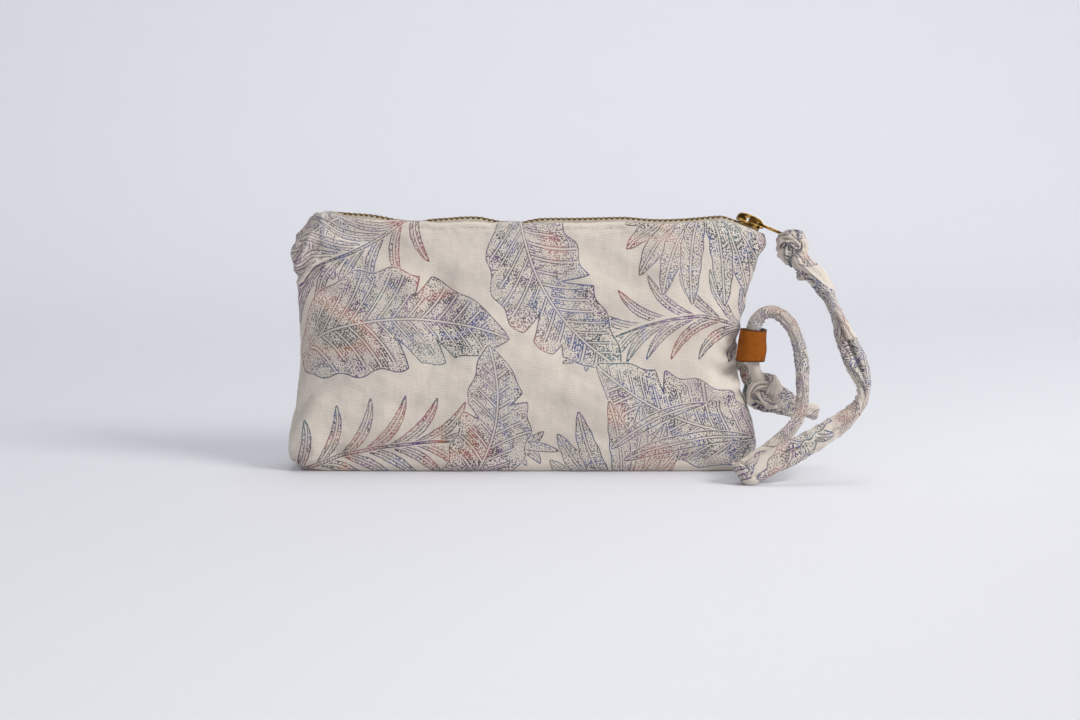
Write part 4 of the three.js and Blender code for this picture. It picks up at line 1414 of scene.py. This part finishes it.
FAN_ROUTE = [
    (0.1262, -0.0132, 0.1035), (0.1284, -0.0145, 0.1005), (0.1302, -0.0155, 0.097),
    (0.1312, -0.0162, 0.0935), (0.1316, -0.0166, 0.0915),
]
PULL_KNOT = (0.1258, -0.0075, 0.1070)
SIDE_KNOT = (0.1136, -0.0065, 0.037)
BEAD = (0.1068, -0.012, 0.0604)
# Shares of the front strap's length where one stretch ends and the next begins.
UPPER_END = 0.34
MIDDLE_END = 0.67


def strap_relief(along, turn, seed, pleats=4, rough=1.0):
    """How far a rolled and twisted strip of cloth stands off its even tube, in millimetres."""
    random = np.random.default_rng(seed)
    # The free edge of the rolled strip, and the step down from it
    edge = np.mod(turn - 0.6 - 0.25 * np.sin(along * 0.13), 2 * math.pi)
    relief = 0.7 * np.exp(-edge / 0.8) - 0.6 * np.exp(-0.5 * ((2 * math.pi - edge) / 0.14) ** 2)
    # Pleats along the strip, each a groove between two low ridges that comes and goes
    for _ in range(pleats):
        place = random.uniform(0, 2 * math.pi)
        pitch = random.uniform(14, 30)
        start = random.uniform(0, pitch)
        wander = 0.35 * np.sin(along / pitch * 3 + start)
        aside = np.mod(turn - place - wander + math.pi, 2 * math.pi) - math.pi
        shows = 0.35 + 0.65 * smoothstep(-0.4, 0.7, np.sin(2 * math.pi * (along + start) / pitch))
        relief = relief - 0.55 * shows * np.exp(-0.5 * (aside / 0.12) ** 2)
        relief = relief + 0.25 * shows * np.exp(-0.5 * ((np.abs(aside) - 0.35) / 0.16) ** 2)
    relief = relief + 0.34 * waves(along, turn * 3.2, 7.5, seed)
    relief = relief + 0.16 * waves(along, turn * 3.2, 3.2, seed + 1)
    return relief * rough


def bend_wrinkles(centre, along, turn, sideways, toward):
    """Small ripples across the inside of each bend, in millimetres."""
    tangent = unit(np.gradient(centre, axis=0))
    curve = np.gradient(tangent, axis=0) / np.gradient(along)[:, None]
    sharp = np.clip(np.linalg.norm(curve, axis=1) * 12, 0, 1)
    inner = np.arctan2(np.sum(curve * toward, axis=1), np.sum(curve * sideways, axis=1))
    facing = np.clip(np.cos(turn[None] - inner[:, None]), 0, 1)
    ripple = np.sin(2 * math.pi * along / 2.7 + 1.5 * np.sin(along * 0.6))
    return 0.5 * (sharp * ripple)[:, None] * facing


def squarer(value, power):
    """A share from -1 to 1 pushed outwards, which makes a round section squarer."""
    return np.sign(value) * np.abs(value) ** power


def strap_mesh(name, centre, wide, deep, facing, seed, twist=0.0, rough=1.0, ends=(True, True), pleats=4,
               gathered=None, around=56, crowd=1.7, furrow=None):
    """Cloth rolled into a soft, flattened tube along a line of points, and twisted by an angle along it.

    Gathered is a count of pleats, their height, and the shares of the length between which they lie.
    A furrow has the two shares, its depth, and its place across at each end, as a share of half the width.
    """
    tangent = unit(np.gradient(centre, axis=0))
    flat = unit(np.cross(tangent, facing))
    stood = np.cross(flat, tangent)
    along = lengths_along(centre) / MM
    share = along / along[-1]
    twist = np.broadcast_to(twist, along.shape)
    c, s = np.cos(twist)[:, None], np.sin(twist)[:, None]
    sideways = flat * c + stood * s
    toward = stood * c - flat * s
    turn = full_turn(around)
    across, depth = squarer(np.cos(turn), 0.8), squarer(np.sin(turn), 0.8)
    wide = np.broadcast_to(wide, along.shape) / 2
    deep = np.broadcast_to(deep, along.shape) / 2
    # A closed end is rounded over its last stretch, down to a pinhole.
    rounding, pinhole = 1.6, 0.02
    shut = np.ones(len(along))
    for closed, left in zip(ends, (along, along[-1] - along)):
        if closed:
            left = np.clip(left / rounding, 0, 1)
            shut = shut * np.sqrt(left * (2 - left))
    shut = np.maximum(shut, pinhole)
    offset = (sideways[:, None] * (wide * shut)[:, None, None] * across[None, :, None]
              + toward[:, None] * (deep * shut)[:, None, None] * depth[None, :, None])
    outward = unit(offset)
    relief = strap_relief(along[:, None], turn[None], seed, pleats, rough)
    relief = relief + bend_wrinkles(centre, along, turn, sideways, toward)
    if gathered:
        count, height, start, end = gathered
        fade = 0.15
        held = smoothstep(start - fade, start, share) * (1 - smoothstep(end, end + fade, share))
        ripple = np.abs(np.sin(count * turn / 2 + 0.6 * np.sin(turn * 3 + seed))) - 0.6
        relief = relief + height * held[:, None] * ripple[None]
    if furrow:
        start, end, sunk, from_side, to_side = furrow
        fade = 0.08
        held = smoothstep(start - fade, start + fade, share) * (1 - smoothstep(end - fade, end + fade, share))
        aside = np.sum(offset * flat[:, None], axis=2) / np.maximum(wide, deep)[:, None]
        line = from_side + (to_side - from_side) * np.clip((share - start) / (end - start), 0, 1)
        faces_front = np.clip(-outward[..., 1] * 2, 0, 1)
        groove = np.exp(-((aside - line[:, None]) / 0.16) ** 2)
        relief = relief - sunk * held[:, None] * faces_front * groove
    points = centre[:, None] + offset + outward * (relief * shut[:, None] * MM)[..., None]
    points[..., 2] = np.maximum(points[..., 2], 0.2 * MM)
    mesh = grid_mesh(name, points, wrap=True)
    # How deep each hollow is, which the cloth paints as shade in its creases
    write_values(mesh, "crease", "FLOAT", "POINT", np.clip(-relief, 0, 2))
    print_strip(mesh, along, float(np.mean(wide + deep) / MM * 3.2), around, seed, crowd)
    return mesh


def print_strip(mesh, along, girth, around, seed, crowd=1.0):
    """Lays leaves along a strip, drawn closer together, because its cloth is gathered."""
    gather = 1.35
    round_it = np.linspace(0, girth, around + 1)
    places = gather * np.stack(np.broadcast_arrays(along[:, None], round_it[None]), axis=2)
    # Each strip has its own part of the cloth, so that its mottling isn't the next one's.
    shift = np.array([seed * 13.0, seed * 7.0])
    leaves = strap_leaves(along[-1] * gather, girth * gather, seed, crowd)
    for leaf in leaves:
        leaf.base = leaf.base + shift
    print_leaves(mesh, corner_values(places + shift), leaves)


def overhand(lobe, depth, lean, spin):
    """The line of an overhand knot pulled tight: three lobes that pass over and under."""
    t = full_turn(200)
    x = (2 + np.cos(3 * t)) * np.cos(2 * t) * lobe
    z = (2 + np.cos(3 * t)) * np.sin(2 * t) * lobe
    y = np.sin(3 * t) * depth
    x, z = turned(x, z, spin)
    y, z = turned(y, z, lean)
    return np.stack([x, y, z], axis=1)


def knot_mesh(name, centre, lobe, depth, strand, lean, spin, stretch, seed):
    """A tight knot of rolled and creased cloth."""
    line = overhand(lobe, depth, lean, spin) * np.array(stretch) + np.array(centre)
    line = np.concatenate([line, line[:1]])
    tangent = np.gradient(line, axis=0)
    tangent[0] = tangent[-1] = (line[1] - line[-2]) / 2
    tangent = unit(tangent)
    outward = line - np.array(centre)
    outward = unit(outward - tangent * np.sum(outward * tangent, axis=1, keepdims=True))
    other = np.cross(tangent, outward)
    along = lengths_along(line) / MM
    around = 60
    turn = full_turn(around)
    ends = smoothstep(0, 4, along) * (1 - smoothstep(along[-1] - 4, along[-1], along))
    relief = strap_relief(along[:, None], turn[None], seed, 10, 1.6)
    # Finer creases, pressed in along the strand
    relief = relief + 0.2 * waves(along[:, None], turn[None] * 2.6, 2.6, seed + 5)
    relief = relief + 0.45 * np.sin(9 * turn[None] + 1.2 * np.sin(along[:, None] * 0.3))
    relief = relief + 0.22 * np.sin(19 * turn[None] + 2.0 * np.sin(along[:, None] * 0.5))
    # How deep each hollow is, which the cloth paints as shade in its creases
    crease = np.clip(-1.4 * relief, 0, 2)
    relief = relief * ends[:, None] * MM
    flat = strand / 2 * 0.84
    broad_half = strand / 2 * 1.25
    offset = (outward[:, None] * (flat + relief)[..., None] * np.cos(turn)[None, :, None]
              + other[:, None] * (broad_half + relief)[..., None] * np.sin(turn)[None, :, None])
    mesh = grid_mesh(name, line[:, None] + offset, wrap=True)
    write_values(mesh, "crease", "FLOAT", "POINT", crease)
    print_strip(mesh, along, strand / MM * math.pi, around, seed, 3)
    return mesh


class POUCH_OT_front_strap(bpy.types.Operator):
    """Makes the front strap in its three stretches, and the knot on the pull."""

    bl_idname = "pouch.front_strap"
    bl_label = "Front strap"
    bl_options = {"REGISTER", "UNDO"}

    def execute(self, context):
        cloth = kept_material("Printed cloth", printed_cloth)
        route = Route(FRONT_ROUTE)
        wide = smooth_line([(0, 8.2), (0.1, 9), (0.22, 7.8), (0.32, 9.4), (0.43, 10.4), (0.54, 8.2),
                            (0.64, 8.8), (0.78, 10.8), (0.9, 11.0), (1, 10.2)], MM)
        deep = smooth_line([(0, 6.6), (0.12, 6), (0.22, 5), (0.34, 5.8), (0.44, 6), (0.54, 5), (0.64, 5),
                            (0.76, 4.6), (1, 3.6)], MM)
        twist = smooth_line([(0, 0.1), (0.1, 0.4), (0.22, 1.5), (0.4, 3.1), (0.54, 4.6), (0.68, 5.8),
                             (0.8, 6.28), (1, 6.28)])
        stretches = [
            ("strap_top", "strap_upper", 0.0, UPPER_END, "pull", "slider"),
            ("strap_mid", "strap_middle", UPPER_END, MIDDLE_END, "slider", "strap"),
            ("strap_low", "strap_lower", MIDDLE_END, 1.0, "strap", "pouch"),
        ]
        tied = knot_mesh("pull_knot_cloth", PULL_KNOT, 1.75 * MM, 2.6 * MM, 5.2 * MM, lean=0.35, spin=0.5,
                         stretch=(0.95, 1.0, 1.2), seed=61)
        knot = add_piece("pull_knot_cloth", tied, cloth, "pull", ["pull_knot"])
        fan_line, share = Route(FAN_ROUTE).evenly(34)
        fan_wide = (4.6 + 3.8 * share) * MM
        pleated = strap_mesh("pull_fan", fan_line, fan_wide, 0.7 * fan_wide, (0, 1, 0), 77, 0.0, 0.5,
                             pleats=2, gathered=(14, 0.9, 0, 1.2), crowd=5)
        add_piece("pull_fan", pleated, cloth, "pull")
        furrows = [(0.72, 1.3, 1.6, -0.3, -0.1), (-0.3, 0.6, 2.4, -0.1, 0.35), (0.15, 0.6, 1.2, 0.3, -0.3)]
        step = 0.8 * MM
        for i, (name, node, start, end, body, next_body) in enumerate(stretches):
            lengths = np.arange(start * route.length, end * route.length + step / 2, step)
            lengths = np.linspace(lengths[0], end * route.length, len(lengths))
            centre = route.at(lengths)
            share = lengths / route.length
            mesh = strap_mesh(name, centre, wide(share), deep(share), (0, 1, 0), 70 + i, twist(share),
                              ends=(i == 0, i == 2), gathered=(12, 0.8, 0, 0.5) if i == 0 else None,
                              furrow=furrows[i])
            piece = add_piece(name, mesh, cloth, body, [node],
                              blend=(next_body, tuple(centre[2]), tuple(centre[-3])))
        return built(self)


class POUCH_OT_side_strap(bpy.types.Operator):
    """Makes the fold on the table, the side run, the side knot, the tail and the tab."""

    bl_idname = "pouch.side_strap"
    bl_label = "Side strap"
    bl_options = {"REGISTER", "UNDO"}

    def execute(self, context):
        cloth = kept_material("Printed cloth", printed_cloth)
        pieces = [self.fold_piece(cloth), self.knot_piece(cloth), self.tail_piece(cloth)]
        route = Route(SIDE_ROUTE)
        lengths = np.linspace(0, route.length, int(route.length / (0.8 * MM)))
        centre = route.at(lengths)
        share = lengths / route.length
        wide = smooth_line([(0, 9), (0.08, 7.4), (0.2, 6), (0.3, 5.4), (0.5, 6.6), (0.66, 6.9), (0.76, 7.4),
                            (0.83, 6), (0.93, 5.4), (1, 5)], MM)
        deep = smooth_line([(0, 3.8), (0.2, 5), (0.5, 5.8), (0.83, 5.8), (1, 5)], MM)
        mesh = strap_mesh("side_run", centre, wide(share), deep(share), (0, 1, 0), 80, 2.2 * share, 0.75)
        run = add_piece("side_run", mesh, cloth, "pouch", ["strap_side_run"])
        line, _ = Route(TAB_ROUTE).evenly(24)
        tab = strap_mesh("tab", line, 4.4 * MM, 3.4 * MM, (0.3, 1, 0), 86, 0.0, 0.5, around=36)
        add_piece("tab", tab, cloth, "pouch", ["side_tab"])
        return built(self)

    def fold_piece(self, cloth):
        """Where the strap turns back on itself, standing on its edge."""
        line, share = Route(FOLD_ROUTE).evenly(34)
        line[:, 0] = line[0, 0] + (line[:, 0] - line[0, 0]) * 0.72
        tall = smooth_line([(0, 9), (0.12, 9.8), (0.3, 9.8), (0.5, 9.5), (0.7, 9), (1, 7.6)], MM)
        thick = smooth_line([(0, 2.4), (0.15, 3.3), (0.3, 2.8), (0.5, 2.4), (0.7, 2.6), (1, 3.4)], MM)
        mesh = strap_mesh("fold", line, thick(share), tall(share), (0, 0, 1), 74, 0.0, 0.5, pleats=3, crowd=8)
        # Its top leans away from the strap, square to the strap's slope.
        for vertex in mesh.vertices:
            vertex.co.x -= 0.55 * (vertex.co.z - 5 * MM)
        return add_piece("fold", mesh, cloth, "pouch", ["strap_fold"])

    def knot_piece(self, cloth):
        mesh = knot_mesh("side_knot_cloth", SIDE_KNOT, 2.15 * MM, 3.0 * MM, 6.0 * MM, lean=-0.3, spin=1.3,
                         stretch=(0.95, 1, 1.1), seed=63)
        return add_piece("side_knot_cloth", mesh, cloth, "pouch", ["side_knot"])

    def tail_piece(self, cloth):
        """The gathered end of the strap, beyond the knot."""
        line, share = Route(TAIL_ROUTE).evenly(36)
        wide = smooth_line([(0, 12), (0.25, 12.6), (0.5, 9.4), (0.7, 6.4), (0.85, 7.6), (1, 8.4)], MM)
        mesh = strap_mesh("tail", line, wide(share), wide(share) * 0.72, (0, 1, 0), 90, 0.0, 0.7,
                          gathered=(16, 0.9, 0, 0.5), crowd=6)
        return add_piece("tail", mesh, cloth, "pouch", ["strap_tail"])


class POUCH_OT_bead(bpy.types.Operator):
    """Makes the leather bead: a strip bent round the strap, with cut edges."""

    bl_idname = "pouch.bead"
    bl_label = "Leather bead"
    bl_options = {"REGISTER", "UNDO"}

    def execute(self, context):
        settings = context.scene.pouch_strap
        outer = settings.bead_width / 2
        inner = outer - settings.bead_wall
        half = settings.bead_length / 2
        corners = [(inner, -half), (outer, -half), (outer, half), (inner, half)]
        profile = np.array(rounded_loop(corners, 0.5 * MM, 4))
        dense = []
        for start, end in zip(profile, np.roll(profile, -1, axis=0)):
            count = max(1, int(np.hypot(*(end - start)) / (0.5 * MM)))
            dense.extend(start + (end - start) * k / count for k in range(count))
        profile = np.array(dense)
        turn = full_turn(120)
        power = 3.2
        square = (np.abs(np.cos(turn)) ** power + np.abs(np.sin(turn)) ** power) ** (-1 / power)
        radius = profile[:, 0][:, None] * (0.66 + 0.34 * square)[None] / 1.03
        height = np.broadcast_to(profile[:, 1][:, None], radius.shape)
        wobble = 0.26 * MM * waves(turn[None] * 7, height / MM, 9, 95)
        radius = radius + wobble + 0.12 * MM * np.cos(height / half * 1.4)
        flare = height + 0.25 * MM * np.sin(turn[None] * 2 + 0.6) * np.sign(height)
        taper = 1 - 0.055 * height / half
        lean = 0.35 * MM * height / half
        x, y = radius * taper * np.cos(turn) + lean, radius * taper * np.sin(turn)
        x, z = turned(x, flare, -math.radians(2.7))
        points = np.stack([x, y, z], axis=2) + np.array(BEAD)
        points = np.concatenate([points, points[:1]])
        mesh = grid_mesh("bead_leather", points, wrap=True)
        to_edge = half - np.abs(profile[:, 1])
        # How much of a cut edge shows: all of it at the rims, and less inside them
        cut = np.exp(-(to_edge / (0.7 * MM)) ** 2)
        cut = np.maximum(cut, (profile[:, 0] < outer - 0.5 * MM) * (to_edge < 0.2 * MM) * 0.6)
        cut = np.concatenate([cut, cut[:1]])
        write_values(mesh, "cut_edge", "FLOAT", "POINT", np.repeat(cut, len(turn)))
        leather = kept_material("Tan leather", tan_leather)
        add_piece("bead_leather", mesh, leather, "bead", ["leather_bead"])
        return built(self)


# The stage


class POUCH_OT_stage(bpy.types.Operator):
    """Makes the floor, the lamps and the camera."""

    bl_idname = "pouch.stage"
    bl_label = "Stage"
    bl_options = {"REGISTER", "UNDO"}

    def execute(self, context):
        settings = context.scene.pouch_stage
        scene = context.scene
        scene.view_settings.view_transform = "Standard"
        camera = bpy.data.cameras.new("camera")
        camera.lens = settings.lens
        camera.sensor_width = 36
        eye = bpy.data.objects.new("camera", camera)
        eye.location = settings.eye
        eye.rotation_euler = (math.pi / 2 - settings.pitch, 0, 0)
        scene.collection.objects.link(eye)
        scene.camera = eye
        self.floor(settings)
        self.world(scene)
        self.lamp("key", (1.1, -0.68, 0.85), 0.6, 16.2, (1, 0.985, 0.96))
        self.lamp("fill", (-0.2, -2.6, 1.4), 1.4, 10.0, (0.96, 0.98, 1))
        self.lamp("top", (0.2, 0.4, 2.6), 1.5, 19.0, (1, 1, 1))
        return built(self)

    def floor(self, settings):
        """A sheet that lies flat and curves up behind."""
        bend, radius = 0.9, 0.8
        turn = np.linspace(0.15, 1.5, 10)
        rows = [(-14.0, 0.0), (-1.0, 0.0), (0.0, 0.0), (bend, 0.0)]
        rows += [(bend + radius * math.sin(a), radius - radius * math.cos(a)) for a in turn]
        rows += [(1.72, 3.5)]
        x = np.linspace(-14, 14, 9)
        points = np.array([[(across, y, z) for across in x] for y, z in rows])
        mesh = grid_mesh("floor", points)
        shader = Shader("Floor")
        grain = shader.noise(shader.place(), 3.0, 2.0)
        beside, behind, _ = shader.parts(shader.place())
        colour = tuple(settings.floor)
        tone = shader.mix(colour, shaded(colour, 0.985), grain)
        tone = shader.mix(tone, tuple(min(1.0, 1.22 * c) for c in colour), behind.rising(0.1, 1.6))
        # The key lamp stands over this part of the floor, so its colour is darker there.
        across, near = beside - 1.05, behind + 0.65
        under_lamp = (across * across + near * near).falling(0.0, 1.25)
        tone = shader.mix(tone, shaded(colour, 0.5), under_lamp)
        # Behind the lamps it takes the backdrop's tone, which lights nothing.
        far = beside.size().most(0 - behind).rising(0.8, 1.35)
        inputs = {"Base Color": tone, "Roughness": 0.85, "Specular IOR Level": 0.2}
        backdrop = (0.75, 0.757, 0.805)
        mesh.materials.append(shader.finish(inputs, backdrop, far * shader.seen()))
        floor = bpy.data.objects.new("floor", mesh)
        bpy.context.collection.objects.link(floor)

    def world(self, scene):
        """Soft light from all round, which looks brighter than it lights."""
        world = bpy.data.worlds.new("studio")
        shader = Shader("studio", world)
        strength = 0.41 + shader.seen() * 0.36
        sky = shader.node("ShaderNodeBackground", {}, {"Color": (0.96, 0.97, 1.0), "Strength": strength})
        shader.node("ShaderNodeOutputWorld", {}, {"Surface": sky}, None)
        scene.world = world

    def lamp(self, name, place, size, power, colour):
        light = bpy.data.lights.new(name, "AREA")
        light.shape = "SQUARE"
        light.size = size
        light.energy = power
        light.color = colour
        lamp = bpy.data.objects.new(name, light)
        lamp.location = place
        aim = Vector((0, 0, 0.06)) - Vector(place)
        lamp.rotation_euler = aim.to_track_quat("-Z", "Y").to_euler()
        bpy.context.collection.objects.link(lamp)


OPERATORS = [
    POUCH_OT_stage,
    POUCH_OT_front_strap,
    POUCH_OT_side_strap,
    POUCH_OT_outer_cloth,
    POUCH_OT_lining,
    POUCH_OT_zip,
    POUCH_OT_slider,
    POUCH_OT_bead,
]


class POUCH_PT_panel(bpy.types.Panel):
    """Lists the pouch's settings and its pieces."""

    bl_idname = "POUCH_PT_panel"
    bl_label = "Wrist Pouch"
    bl_space_type = "VIEW_3D"
    bl_region_type = "UI"
    bl_category = "Pouch"

    def draw(self, context):
        for group in SETTINGS:
            box = self.layout.box()
            box.label(text=group.__doc__)
            for name in group.__annotations__:
                box.prop(getattr(context.scene, SETTINGS[group]), name)
        for operator in OPERATORS:
            self.layout.operator(operator.bl_idname)


SETTINGS = {
    ClothSettings: "pouch_cloth",
    ZipSettings: "pouch_zip",
    StrapSettings: "pouch_strap",
    StageSettings: "pouch_stage",
}


def register():
    for group, name in SETTINGS.items():
        bpy.utils.register_class(group)
        setattr(bpy.types.Scene, name, PointerProperty(type=group))
    for operator in OPERATORS:
        bpy.utils.register_class(operator)
    bpy.utils.register_class(POUCH_PT_panel)


def unregister():
    bpy.utils.unregister_class(POUCH_PT_panel)
    for operator in reversed(OPERATORS):
        bpy.utils.unregister_class(operator)
    for group, name in SETTINGS.items():
        delattr(bpy.types.Scene, name)
        bpy.utils.unregister_class(group)


def main():
    register()
    for operator in OPERATORS:
        group, name = operator.bl_idname.split(".")
        getattr(getattr(bpy.ops, group), name)()


if __name__ == "__main__":
    main()
